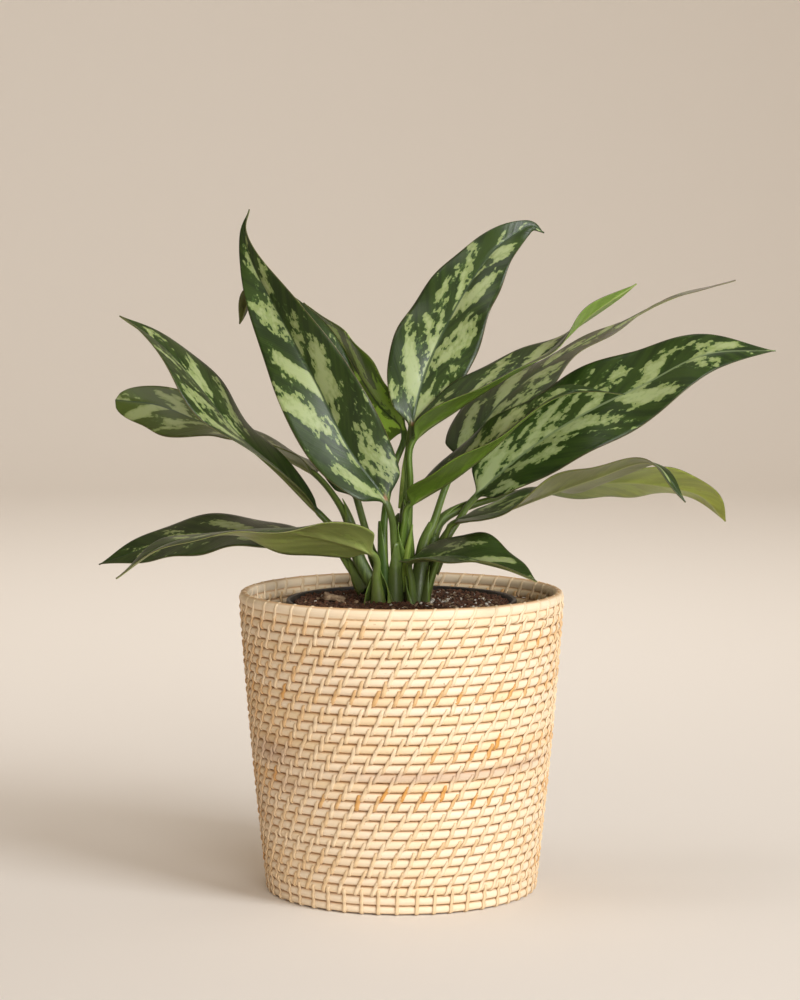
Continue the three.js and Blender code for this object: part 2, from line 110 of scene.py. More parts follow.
def add_node(tree: bpy.types.NodeTree, kind: str, inputs: dict | None = None,
             stops: Sequence[tuple[float, str]] = (), **settings) -> bpy.types.Node:
    """Adds a node with its settings and links.

    Args:
        tree: The node tree to add to.
        kind: The shader node's Blender type, without the words that all of them start with.
        inputs: Input name or number to a socket, or to a node for its first output, which is linked, or to
            a value or an sRGB hex colour, which is set.
        stops: Places and sRGB hex colours of a colour ramp.
        **settings: The node's own properties.

    Returns:
        The new node.
    """
    node = tree.nodes.new("ShaderNode" + kind)
    for name, value in settings.items():
        setattr(node, name, value)
    for key, value in (inputs or {}).items():
        if isinstance(value, bpy.types.Node):
            value = value.outputs[0]
        if isinstance(value, bpy.types.NodeSocket):
            tree.links.new(value, node.inputs[key])
        elif isinstance(value, str):
            node.inputs[key].default_value = linear(value)
        else:
            node.inputs[key].default_value = value
    if stops:
        elements = node.color_ramp.elements
        while len(elements) < len(stops):
            elements.new(1.0)
        for element, (place, hex_code) in zip(elements, stops):
            element.position = place
            element.color = linear(hex_code)
    return node


def deselect_all() -> None:
    """Leaves nothing selected and nothing active."""
    for piece in bpy.context.view_layer.objects:
        piece.select_set(False)
    bpy.context.view_layer.objects.active = None


def select_only(pieces: Iterable[bpy.types.Object]) -> None:
    """Selects some pieces alone, and makes the first one active.

    Args:
        pieces: The pieces to select.
    """
    deselect_all()
    pieces = list(pieces)
    for piece in pieces:
        piece.select_set(True)
    bpy.context.view_layer.objects.active = pieces[0]


def named(name: str) -> bpy.types.Object:
    """Names the piece that was just added, and its mesh.

    Args:
        name: The new name.

    Returns:
        The active piece.
    """
    piece = bpy.context.view_layer.objects.active
    piece.name = name
    piece.data.name = name
    return piece


def apply_modifier(piece: bpy.types.Object, kind: str, **settings) -> None:
    """Adds a modifier and applies it at once.

    Args:
        piece: The piece to change.
        kind: The modifier's Blender type.
        **settings: The modifier's own properties.
    """
    select_only([piece])
    modifier = piece.modifiers.new(kind.title(), kind)
    for name, value in settings.items():
        setattr(modifier, name, value)
    bpy.ops.object.modifier_apply(modifier=modifier.name)


def joined(pieces: Sequence[bpy.types.Object], name: str) -> bpy.types.Object:
    """Joins pieces into one.

    Args:
        pieces: The pieces to join.
        name: The name of the whole.

    Returns:
        The one piece that is left.
    """
    select_only(pieces)
    if len(pieces) > 1:
        bpy.ops.object.join()
    return named(name)


def smooth(piece: bpy.types.Object) -> None:
    """Shades a piece smooth."""
    select_only([piece])
    bpy.ops.object.shade_smooth()


def face_outwards(piece: bpy.types.Object) -> None:
    """Points the faces of a closed piece outwards.

    Args:
        piece: The piece, in object mode.
    """
    select_only([piece])
    bpy.ops.object.mode_set(mode="EDIT")
    bpy.ops.mesh.select_all(action="SELECT")
    bpy.ops.mesh.normals_make_consistent(inside=False)
    bpy.ops.object.mode_set(mode="OBJECT")


def coordinates(mesh: bpy.types.Mesh) -> np.ndarray:
    """Reads the vertices of a mesh.

    Args:
        mesh: The mesh to read.

    Returns:
        A row of x, y and z for each vertex.
    """
    flat = np.zeros(len(mesh.vertices) * 3)
    mesh.vertices.foreach_get("co", flat)
    return flat.reshape(-1, 3)


def place_vertices(mesh: bpy.types.Mesh, points: np.ndarray) -> None:
    """Moves the vertices of a mesh to these points."""
    mesh.vertices.foreach_set("co", points.reshape(-1).astype(np.float32))
    mesh.update()


def paint(mesh: bpy.types.Mesh, name: str, values: np.ndarray) -> None:
    """Stores a value, a vector or a colour for each vertex.

    Args:
        mesh: The mesh to store it on.
        name: The attribute's name, which a material reads.
        values: One row a vertex, of one, three or four numbers.
    """
    values = np.asarray(values, float)
    kinds = {1: ("FLOAT", "value"), 3: ("FLOAT_VECTOR", "vector"), 4: ("FLOAT_COLOR", "color")}
    kind, key = kinds[1 if values.ndim == 1 else values.shape[1]]
    attribute = mesh.attributes.get(name) or mesh.attributes.new(name, kind, "POINT")
    attribute.data.foreach_set(key, values.reshape(-1).astype(np.float32))


def copy_of(template: bpy.types.Object, matrix: Matrix) -> bpy.types.Object:
    """Copies a piece with a mesh of its own.

    Args:
        template: The piece to copy.
        matrix: What the copy is moved, turned and stretched by.

    Returns:
        The copy.
    """
    twin = bpy.data.objects.new(template.name + "_copy", template.data.copy())
    twin.data.transform(matrix)
    bpy.context.scene.collection.objects.link(twin)
    return twin


def remove(piece: bpy.types.Object) -> None:
    """Deletes a piece and its mesh.

    Args:
        piece: The piece to delete.
    """
    mesh = piece.data
    bpy.data.objects.remove(piece)
    bpy.data.meshes.remove(mesh)


def sheet_from_grid(name: str, points: np.ndarray, marks: dict[str, np.ndarray]) -> bpy.types.Object:
    """Makes a grid primitive and draws it out to rows of points.

    Args:
        name: The piece's name.
        points: Rows by columns of places in metres.
        marks: Attribute name to rows by columns of values, stored for the materials.

    Returns:
        The piece, an open sheet with a UV map that runs across and along it.
    """
    rows, columns = points.shape[:2]
    deselect_all()
    bpy.ops.mesh.primitive_grid_add(x_subdivisions=columns - 1, y_subdivisions=rows - 1, size=1)
    piece = named(name)
    flat = coordinates(piece.data) + 0.5
    column = np.rint(flat[:, 0] * (columns - 1)).astype(int)
    row = np.rint(flat[:, 1] * (rows - 1)).astype(int)
    place_vertices(piece.data, points[row, column])
    for mark, values in marks.items():
        paint(piece.data, mark, values[row, column])
    return piece


def closed_loft(name: str, rings: np.ndarray, marks: dict[str, np.ndarray]) -> bpy.types.Object:
    """Makes a closed body through rings of points.

    Args:
        name: The piece's name.
        rings: Rings by points of places in metres; each ring's last point repeats its first.
        marks: Attribute name to rings by points of values.

    Returns:
        The closed piece, with its two ends filled and its faces out.
    """
    piece = sheet_from_grid(name, rings, marks)
    select_only([piece])
    bpy.ops.object.mode_set(mode="EDIT")
    bpy.ops.mesh.select_all(action="SELECT")
    bpy.ops.mesh.remove_doubles(threshold=MERGE_GAP)
    bpy.ops.mesh.select_all(action="SELECT")
    bpy.ops.mesh.fill_holes(sides=0)
    bpy.ops.object.mode_set(mode="OBJECT")
    face_outwards(piece)
    return piece


def raised_from_circle(name: str, profile: Sequence[tuple[float, float]], sides: int) -> bpy.types.Object:
    """Turns a round body by extruding a filled circle up through a profile.

    Args:
        name: The piece's name.
        profile: Radius and height of each edge loop, from the middle of the foot round to the last loop.
        sides: Corners of the circle.

    Returns:
        The closed round piece.
    """
    deselect_all()
    radius, height = profile[0]
    bpy.ops.mesh.primitive_circle_add(vertices=sides, radius=radius, fill_type="NGON", location=(0, 0, 0))
    piece = named(name)
    piece.data.transform(Matrix.Translation((0, 0, height)))
    bpy.ops.object.mode_set(mode="EDIT")
    bpy.ops.mesh.select_all(action="SELECT")
    for next_radius, next_height in profile[1:]:
        bpy.ops.mesh.extrude_region_move(
            TRANSFORM_OT_translate={"value": (0, 0, next_height - height)})
        share = next_radius / radius
        bpy.ops.transform.resize(value=(share, share, 1), center_override=(0, 0, next_height))
        radius, height = next_radius, next_height
    bpy.ops.object.mode_set(mode="OBJECT")
    face_outwards(piece)
    return piece


def roughen(piece: bpy.types.Object, size: float, height: float, group: str = "") -> None:
    """Makes a surface uneven with soft random swellings.

    Args:
        piece: The piece to change.
        size: From one swelling to the next, in metres.
        height: From the lowest to the highest point, in metres.
        group: The vertex group that is changed, or nothing for the whole piece.
    """
    clouds = bpy.data.textures.new(piece.name + "_clouds", "CLOUDS")
    clouds.noise_scale = size
    apply_modifier(piece, "DISPLACE", texture=clouds, texture_coords="LOCAL", strength=height,
                   mid_level=0.5, vertex_group=group)
    bpy.data.textures.remove(clouds)


def finish_piece(piece: bpy.types.Object, material: bpy.types.Material, slot: Slot,
                 *nodes: str) -> None:
    """Dresses a finished piece and hands it to the frame.

    Args:
        piece: The piece, in its place.
        material: Its material.
        slot: The record's slot; not used.
        *nodes: The solids that it stands for.
    """
    piece.data.materials.clear()
    piece.data.materials.append(material)
    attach(piece, BODY)
    if nodes:
        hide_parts(*nodes)
    log.info("%s: %d faces", piece.name, len(piece.data.polygons))


# ---------------------------------------------------------------- curves


def catmull_rom(points: Sequence[Sequence[float]]) -> np.ndarray:
    """A smooth curve through points.

    Args:
        points: The points, each a row of numbers.

    Returns:
        The points of the curve, ends included, CURVE_PIECES pieces from one given point to the next.
    """
    p = np.asarray(points, float)
    p = np.vstack([2 * p[0] - p[1], p, 2 * p[-1] - p[-2]])
    t = np.arange(CURVE_PIECES)[:, None] / CURVE_PIECES
    parts = []
    for a, b, c, d in zip(p, p[1:], p[2:], p[3:]):
        parts.append(0.5 * (2 * b + (c - a) * t + (2 * a - 5 * b + 4 * c - d) * t ** 2
                            + (3 * b - a - 3 * c + d) * t ** 3))
    return np.vstack([*parts, p[-2:-1]])


def along(values: Sequence, shares: np.ndarray) -> np.ndarray:
    """Values given at even steps from 0 to 1, read smoothly at some shares.

    Args:
        values: Numbers, or rows of numbers; a single one holds all along.
        shares: Where to read them.

    Returns:
        One number or row for each share.
    """
    table = np.asarray(values, float)
    if len(table) == 1:
        return np.repeat(table, len(shares), axis=0)
    rows = table.reshape(len(table), -1)
    curve = catmull_rom(rows)
    steps = np.linspace(0, 1, len(curve))
    read = np.stack([np.interp(shares, steps, column) for column in curve.T], 1)
    return read[:, 0] if table.ndim == 1 else read


def at_shares(line: np.ndarray, shares: np.ndarray) -> np.ndarray:
    """Points at some shares of the length of a line of points."""
    reach = reach_along(line)
    return np.stack([np.interp(shares * reach[-1], reach, axis) for axis in line.T], 1)


def reach_along(line: np.ndarray) -> np.ndarray:
    """Distance along a line of points from its start to each of them."""
    return np.concatenate([[0], np.cumsum(np.linalg.norm(np.diff(line, axis=0), axis=1))])


def unit(vectors: np.ndarray) -> np.ndarray:
    """The same directions at unit length."""
    return vectors / np.maximum(np.linalg.norm(vectors, axis=-1, keepdims=True), 1e-12)


def square_to(directions: np.ndarray, units: np.ndarray) -> np.ndarray:
    """What is left of directions once their part along unit vectors is taken off, at unit length."""
    return unit(directions - (directions * units).sum(-1, keepdims=True) * units)


def ease(share: np.ndarray) -> np.ndarray:
    """A smooth step from 0 to 1."""
    held = np.clip(share, 0, 1)
    return held * held * (3 - 2 * held)


def laid_out(points: np.ndarray, right: np.ndarray, up: np.ndarray, across: np.ndarray,
             above: np.ndarray) -> np.ndarray:
    """Lays points out beside each point of a line.

    Args:
        points: The line, a row of x, y and z for each of its points.
        right: The direction across the line at each point.
        up: The direction above it.
        across: How far each new point lies across, rows along the line by points beside it.
        above: How far each new point lies above.

    Returns:
        Rows by columns of places.
    """
    return points[:, None] + right[:, None] * across[..., None] + up[:, None] * above[..., None]


# ---------------------------------------------------------------- finishes


class Finish:
    """What all finishes share: a material with one Principled shader, named for the real material."""

    name: str

    def material(self) -> bpy.types.Material:
        """Builds the material.

        Returns:
            The new material.
        """
        material = bpy.data.materials.new(self.name)
        material.use_nodes = True
        tree = material.node_tree
        tree.nodes.clear()
        shader = add_node(tree, "BsdfPrincipled", self.sockets(tree))
        add_node(tree, "OutputMaterial", {"Surface": shader})
        return material

    def sockets(self, tree: bpy.types.NodeTree) -> dict:
        """Lays out the nodes of the pattern.

        Args:
            tree: The material's node tree.

        Returns:
            The shader's sockets by name, each with what is linked to it or set on it.
        """
        raise NotImplementedError


@dataclass(frozen=True)
class RattanCore(Finish):
    """Rattan core: the peeled, unbleached inside of the cane, drawn round and left bare.

    It is porous, so it is nearly matt, and its fibres show as fine streaks along the rod with a few brown
    specks where a node was scraped off.
    """

    name: str = "rattan_core"
    pale: str = "#F3E2C9"
    warm: str = "#EDD4AC"
    speck: str = "#9A6B3C"
    stain: str = "#A0765A"
    shade: str = "#BC8440"  # painted shade in the grooves between the turns, with some dust and tannin
    fibre_mm: float = 0.55  # drawn twice as coarse as it is, so that it shows
    streak_mm: float = 26.0
    cloud_mm: float = 32.0  # broad changes of shade
    speck_mm: float = 5.0  # from one speck to the next
    turn_mm: float = 650.0  # one turn of rod, which the UV map's width stands for
    girth_mm: float = 20.0  # once round the rod, which the UV map's height stands for
    tint_share: float = 0.75  # how much of the shade is each turn's own

    def sockets(self, tree: bpy.types.NodeTree) -> dict:
        """Streaks run along the rod; stains, and painted shade with some dust in the grooves, lie over them.

        Args:
            tree: The material's node tree.

        Returns:
            The shader's sockets by name, each with what is linked to it or set on it.
        """
        over = add_node(tree, "SeparateXYZ", {0: add_node(tree, "UVMap")}).outputs
        place = add_node(tree, "TexCoord").outputs["Object"]
        height = add_node(tree, "SeparateXYZ", {0: place}).outputs[2]
        tint, stain, groove = (add_node(tree, "Attribute", attribute_name=mark).outputs["Fac"]
                               for mark in ("tint", "stain", "groove"))
        run, girth, row = (add_node(tree, "Math", {0: source, 1: repeats}, operation="MULTIPLY")
                           for source, repeats in ((over[0], self.turn_mm / self.streak_mm),
                                                   (over[1], self.girth_mm / self.fibre_mm),
                                                   (height, 1 / (self.fibre_mm * MM))))
        fibres = add_node(tree, "CombineXYZ", {0: run, 1: girth, 2: row})
        streaks = add_node(tree, "TexNoise", {"Vector": fibres, "Scale": 1.0, "Detail": 3.0,
                                              "Roughness": 0.6})
        broad = add_node(tree, "TexNoise", {"Vector": place, "Scale": 1 / (self.cloud_mm * MM),
                                            "Detail": 3.0})
        specks = add_node(tree, "TexNoise", {"Vector": place, "Scale": 1 / (self.speck_mm * MM),
                                             "Detail": 2.0})
        tone = add_node(tree, "Math", {0: streaks, 1: broad}, operation="ADD")
        tone = add_node(tree, "Math", {0: tint, 1: self.tint_share, 2: tone}, operation="MULTIPLY_ADD")
        # dust is painted shade, with some real dust, in the grooves between the turns
        warmth, dots, dust = (
            add_node(tree, "MapRange", {"Value": source, "From Min": low, "From Max": high, "To Max": top})
            for source, low, high, top in ((tone, 0.8, 1.75, 1.0), (specks, 0.71, 0.77, 0.55),
                                           (groove, 0.62, 1.0, 0.8)))
        colour = self.pale
        for share, layer in ((warmth, self.warm), (dots, self.speck), (stain, self.stain),
                             (dust, self.shade)):
            colour = add_node(tree, "Mix", {0: share, 6: colour, 7: layer}, data_type="RGBA").outputs[2]
        bump = add_node(tree, "Bump", {"Height": streaks, "Strength": 0.35, "Distance": 0.25 * MM})
        return {"Base Color": colour, "Normal": bump, "Roughness": 0.58, "IOR": 1.5,
                "Specular IOR Level": 0.4}


@dataclass(frozen=True)
class RattanPeel(Finish):
    """Binding cane: flat strips of rattan peel, split and shaved, that lash the rods together.

    The outer skin is kept, so it is glossier than the core, and every strip has its own shade.
    """

    name: str = "rattan_peel"
    shades: tuple[tuple[float, str], ...] = (
        (0.0, "#F0DAB8"), (0.45, "#E8CBA0"), (0.8, "#DEB988"), (0.93, "#D9AE74"), (1.0, "#DA9F50"))
    dark_fibre: str = "#B98A54"
    stain: str = "#A0786A"
    fibre_mm: float = 0.3
    width_mm: float = 3.0  # of a strip, which the UV map's width stands for
    length_mm: float = 12.0  # of a strip, which the UV map's height stands for
    streak_mm: float = 8.0
    drift: float = 90.0  # how far the pattern moves on from strip to strip, per metre

    def sockets(self, tree: bpy.types.NodeTree) -> dict:
        """Fine fibres run along each strip, whose own shade comes from its tint.

        Args:
            tree: The material's node tree.

        Returns:
            The shader's sockets by name, each with what is linked to it or set on it.
        """
        place = add_node(tree, "TexCoord").outputs["Object"]
        tint, stain = (add_node(tree, "Attribute", attribute_name=mark).outputs["Fac"]
                       for mark in ("tint", "stain"))
        shade = add_node(tree, "ValToRGB", {0: tint}, stops=self.shades)
        fibres = add_node(tree, "VectorMath",
                          {0: add_node(tree, "UVMap"),
                           1: (self.width_mm / self.fibre_mm, self.length_mm / self.streak_mm, 1)},
                          operation="MULTIPLY")
        fibres = add_node(tree, "VectorMath", {0: place, 1: [self.drift] * 3, 2: fibres},
                          operation="MULTIPLY_ADD")
        streaks = add_node(tree, "TexNoise", {"Vector": fibres, "Scale": 1.0, "Detail": 2.0})
        darker = add_node(tree, "MapRange", {"Value": streaks, "From Min": 0.35, "From Max": 0.8,
                                             "To Max": 0.3})
        colour = shade
        for share, layer in ((darker, self.dark_fibre), (stain, self.stain)):
            colour = add_node(tree, "Mix", {0: share, 6: colour, 7: layer}, data_type="RGBA").outputs[2]
        bump = add_node(tree, "Bump", {"Height": streaks, "Strength": 0.25, "Distance": 0.15 * MM})
        return {"Base Color": colour, "Normal": bump, "Roughness": 0.45, "IOR": 1.5}


@dataclass(frozen=True)
class LeafBlade(Finish):
    """A grown leaf: waxy cuticle over dark green tissue, flecked with pale tissue between its side veins.

    The wax gives a cool sheen that breaks up along the side veins. The lower side is paler, olive and
    plain, and the stalk is smooth and fleshy.
    """

    name: str = "leaf_blade"
    dark: str = "#304417"
    deep: str = "#223411"
    mid: str = "#506A35"
    light: str = "#85945C"
    bright: str = "#9BA876"
    margin: str = "#5A4A34"
    keel: str = "#A9B070"  # the midrib on the lower side
    stalk_edge: str = "#6F8636"
    stalk: tuple[tuple[float, str], ...] = (
        (0.0, "#22341A"), (0.25, "#384E1F"), (0.55, "#5C772E"), (0.8, "#526C2C"), (1.0, "#4A622C"))
    vein_run: float = 1.9  # how far a patch runs forward for each step outwards
    side_vein_run: float = 1.3  # how far a side vein does
    patch_mm: float = 46.0  # from one pale patch to the next along the midrib
    blob_mm: tuple[float, float] = (22.0, 15.0)  # across and along the patches
    tooth_mm: tuple[float, float] = (6.0, 3.0)  # along and across the leaf
    speck_mm: tuple[float, float] = (2.6, 1.5)
    cloud_mm: tuple[float, float] = (9.0, 22.0)  # of light and dark green
    vein_mm: tuple[float, float] = (1.7, 45.0)
    rib_mm: float = 1.5  # half width of the midrib at the blade's base

    def sockets(self, tree: bpy.types.NodeTree) -> dict:
        """Pale flecks, green tissue, midrib and margin above; olive below; the stalk in its own ramp.

        The mesh gives the share along the blade (below 0 on the stalk), the share across it, which side it
        is, and millimetres along and across. Every half of every leaf reads its own part of the patterns.

        Args:
            tree: The material's node tree.

        Returns:
            The shader's sockets by name, each with what is linked to it or set on it.
        """
        marks = {mark: add_node(tree, "Attribute", attribute_name=mark).outputs for mark in (
            "leaf_share", "leaf_mm", "fleck_share", "fleck_tone", "tone_colour", "rib_colour",
            "lower_colour", "lower_flecks")}
        t, across, upper = add_node(tree, "SeparateXYZ", {0: marks["leaf_share"]["Vector"]}).outputs
        run, out, seed = add_node(tree, "SeparateXYZ", {0: marks["leaf_mm"]["Vector"]}).outputs
        tone = marks["tone_colour"]["Color"]
        toned = marks["tone_colour"]["Alpha"]
        lower_tone = marks["lower_colour"]["Color"]
        far_out = add_node(tree, "Math", {0: out}, operation="ABSOLUTE").outputs[0]
        far_share = add_node(tree, "Math", {0: across}, operation="ABSOLUTE")
        half = add_node(tree, "Math", {0: out}, operation="SIGN")
        patch_line, vein_line, side, half_turn = (
            add_node(tree, "Math", {0: first, 1: factor, 2: last}, operation="MULTIPLY_ADD")
            for first, factor, last in ((far_out, -self.vein_run, run), (far_out, -self.side_vein_run, run),
                                        (half, 1.7, seed), (half, 1.3, seed)))

        # random clouds on the leaf: what runs along, their size along and across, shift, detail, distortion
        clouds = []
        for lengthwise, size, shift, detail, distortion in (
                (patch_line, self.blob_mm, 0.0, 1.0, 0.6), (run, self.tooth_mm, 5.0, 2.0, 0.0),
                (run, self.speck_mm, 9.0, 1.0, 0.0), (patch_line, self.cloud_mm, 13.0, 2.0, 0.0),
                (vein_line, self.vein_mm, 17.0, 2.0, 0.0)):
            steps = [add_node(tree, "Math", {0: source, 1: step}, operation="DIVIDE")
                     for source, step in ((lengthwise, size[0]), (far_out, size[1]))]
            own = add_node(tree, "Math", {0: side, 1: shift}, operation="ADD")
            place = add_node(tree, "CombineXYZ", {0: steps[0], 1: steps[1], 2: own})
            clouds.append(add_node(tree, "TexNoise", {"Vector": place, "Scale": 1.0, "Detail": detail,
                                                      "Distortion": distortion}))
        blob, tooth, speck, cloud, veins = clouds

        # soft steps that only need the place on the leaf: source, where it starts and ends, how high it goes
        rib_width = add_node(tree, "Math", {0: t, 1: -0.9, 2: self.rib_mm}, operation="MULTIPLY_ADD")
        from_rib = add_node(tree, "Math", {0: far_out, 1: rib_width}, operation="DIVIDE")
        (edge_fade, tip_fade, off_rib, on_margin, dried, above, stalk_side, on_blade, deepening) = (
            add_node(tree, "MapRange", {"Value": source, "From Min": low, "From Max": high, "To Max": top},
                     interpolation_type="SMOOTHSTEP")
            for source, low, high, top in (
                (far_share, 0.5, 1.0, 0.22), (t, 0.6, 1.0, 0.1), (from_rib, 0.5, 1.0, 0.85),
                (far_share, 0.975, 0.995, 0.7), (toned, 0.7, 0.85, 0.85), (upper, 0.45, 0.55, 1.0),
                (far_share, 0.7, 0.98, 0.6), (t, -0.02, 0.03, 1.0), (cloud, 0.35, 0.65, 1.0)))
        on_rib = add_node(tree, "Math", {0: 0.85, 1: off_rib}, operation="SUBTRACT")

        # how pale the tissue is: patches in rows, broken up by teeth and specks, fewer at margin and tip
        turn = add_node(tree, "Math", {0: patch_line, 1: FULL_TURN / self.patch_mm, 2: half_turn},
                        operation="MULTIPLY_ADD")
        pattern = add_node(tree, "Math", {0: turn}, operation="COSINE")
        level = add_node(tree, "Math", {0: blob, 1: 0.515}, operation="SUBTRACT")
        level = add_node(tree, "Math", {0: pattern, 1: 0.12, 2: level}, operation="MULTIPLY_ADD")
        for pattern, weight in ((tooth, 0.6), (speck, 0.14)):
            swing = add_node(tree, "Math", {0: pattern, 1: 0.5}, operation="SUBTRACT")
            level = add_node(tree, "Math", {0: swing, 1: weight, 2: level}, operation="MULTIPLY_ADD")
        for fade in (edge_fade, tip_fade):
            level = add_node(tree, "Math", {0: level, 1: fade}, operation="SUBTRACT")
        level = add_node(tree, "Math", {0: level, 1: marks["fleck_share"]["Fac"]}, operation="ADD")
        fleck, faint_fleck, heart = (
            add_node(tree, "MapRange", {"Value": level, "From Min": low, "From Max": high, "To Max": 1.0},
                     interpolation_type="SMOOTHSTEP")
            for low, high in ((-0.006, 0.008), (-0.05, -0.042), (0.02, 0.2)))
        faint, below_fleck, below_rib, dimple, stalk_tooth = (
            add_node(tree, "Math", {0: source, 1: factor}, operation="MULTIPLY")
            for source, factor in ((faint_fleck, 0.45), (fleck, marks["lower_flecks"]["Fac"]),
                                   (on_rib, 0.5), (fleck, 0.12), (tooth, 0.35)))
        shading = add_node(tree, "Math", {0: cloud, 1: 0.5, 2: dimple}, operation="MULTIPLY_ADD")
        lit = add_node(tree, "MapRange", {"Value": shading, "From Min": 0.15, "From Max": 0.45,
                                          "To Max": 1.0}, interpolation_type="SMOOTHSTEP")

        # each look is a colour with layers over it: the share of the layer, and its colour or earlier look
        ramp = add_node(tree, "ValToRGB", {0: add_node(tree, "Math", {0: t, 1: 1.0}, operation="ADD")},
                        stops=self.stalk).outputs[0]
        looks = {"ramp": ramp}
        for look, ground, layers in (
                ("green", self.dark, ((deepening, self.deep), (faint, self.mid), (toned, tone))),
                ("pale", self.light, ((heart, self.bright), (marks["fleck_tone"]["Fac"], tone))),
                ("top", "green", ((fleck, "pale"), (on_rib, marks["rib_colour"]["Color"]),
                                  (on_margin, self.margin), (dried, tone))),
                ("lower", lower_tone, ((0.35, self.dark), (lit, lower_tone), (below_fleck, tone),
                                       (below_rib, self.keel))),
                ("skin", "lower", ((above, "top"),)),
                ("stalk", "ramp", ((0.35, lower_tone), (stalk_tooth, self.deep),
                                   (stalk_side, self.stalk_edge), (on_blade, "skin")))):
            colour = looks.get(ground, ground)
            for share, layer in layers:
                colour = add_node(tree, "Mix", {0: share, 6: colour, 7: looks.get(layer, layer)},
                                  data_type="RGBA").outputs[2]
            looks[look] = colour

        bump = add_node(tree, "Bump", {"Height": veins, "Strength": 0.3, "Distance": 0.5 * MM})
        rough = add_node(tree, "Math", {0: veins, 1: 0.22, 2: 0.25}, operation="MULTIPLY_ADD")
        rough = add_node(tree, "Math", {0: rough, 1: 0.07}, operation="ADD")
        rough = add_node(tree, "Math", {0: above, 1: -0.07, 2: rough}, operation="MULTIPLY_ADD")
        return {"Base Color": looks["stalk"], "Roughness": rough, "Normal": bump, "IOR": 1.42,
                "Subsurface Weight": 0.35, "Subsurface Radius": (0.7, 1.0, 0.3),
                "Subsurface Scale": 1.6 * MM}


@dataclass(frozen=True)
class PlainSkin(Finish):
    """A fleshy green skin without flecks, as on canes and young rolled leaves, streaked along its length."""

    name: str
    pale: str
    dark: str
    roughness: float
    streak_mm: float = 1.2
    stretch: float = 12.5  # how much longer than wide a streak is

    def sockets(self, tree: bpy.types.NodeTree) -> dict:
        """Soft upright streaks from dark to pale.

        Args:
            tree: The material's node tree.

        Returns:
            The shader's sockets by name, each with what is linked to it or set on it.
        """
        repeats = 1 / (self.streak_mm * MM)
        place = add_node(tree, "Mapping", {"Vector": add_node(tree, "TexCoord").outputs["Object"],
                                           "Scale": (repeats, repeats, repeats / self.stretch)})
        streaks = add_node(tree, "TexNoise", {"Vector": place, "Scale": 1.0, "Detail": 3.0})
        colour = add_node(tree, "ValToRGB", {0: streaks}, stops=((0.35, self.dark), (0.68, self.pale)))
        bump = add_node(tree, "Bump", {"Height": streaks, "Strength": 0.3, "Distance": 0.2 * MM})
        return {"Base Color": colour, "Normal": bump, "Roughness": self.roughness, "IOR": 1.45}


@dataclass(frozen=True)
class BlackPolypropylene(Finish):
    """Black polypropylene, vacuum-formed thin: a dull sheen, scuffed and dusty with dried mix."""

    name: str = "black_polypropylene"
    black: str = "#1C1A18"
    dust: str = "#4A3E33"
    dust_mm: float = 9.0

    def sockets(self, tree: bpy.types.NodeTree) -> dict:
        """Patches of dust, matt where the bare plastic shines.

        Args:
            tree: The material's node tree.

        Returns:
            The shader's sockets by name, each with what is linked to it or set on it.
        """
        dust = add_node(tree, "TexNoise", {"Vector": add_node(tree, "TexCoord").outputs["Object"],
                                           "Scale": 1 / (self.dust_mm * MM), "Detail": 5.0})
        colour = add_node(tree, "ValToRGB", {0: dust}, stops=((0.5, self.black), (0.8, self.dust)))
        rough = add_node(tree, "MapRange", {"Value": dust, "To Min": 0.32, "To Max": 0.7})
        return {"Base Color": colour, "Roughness": rough}


@dataclass(frozen=True)
class PottingMix(Finish):
    """Moist peat and coir: near black, matt and crumbly at every scale; bark and perlite are like it."""

    name: str = "potting_mix"
    dark: str = "#281A11"
    pale: str = "#75492F"
    crumb_mm: float = 2.2

    def sockets(self, tree: bpy.types.NodeTree) -> dict:
        """Crumbs in two shades that also roughen the surface.

        Args:
            tree: The material's node tree.

        Returns:
            The shader's sockets by name, each with what is linked to it or set on it.
        """
        crumbs = add_node(tree, "TexNoise", {"Vector": add_node(tree, "TexCoord").outputs["Object"],
                                             "Scale": 1 / (self.crumb_mm * MM), "Detail": 6.0,
                                             "Roughness": 0.7})
        colour = add_node(tree, "ValToRGB", {0: crumbs}, stops=((0.38, self.dark), (0.7, self.pale)))
        bump = add_node(tree, "Bump", {"Height": crumbs, "Strength": 1.0, "Distance": 1.2 * MM})
        return {"Base Color": colour, "Normal": bump, "Roughness": 0.9}


@dataclass(frozen=True)
class StudioPaper(Finish):
    """Background paper from a roll: warm white, dead matt and even all over."""

    name: str = "studio_paper"
    colour: str = "#E9E5DF"

    def sockets(self, tree: bpy.types.NodeTree) -> dict:
        """Plain all over, so it needs no node."""
        return {"Base Color": self.colour, "Roughness": 0.85, "Specular IOR Level": 0.2}


# ---------------------------------------------------------------- basket


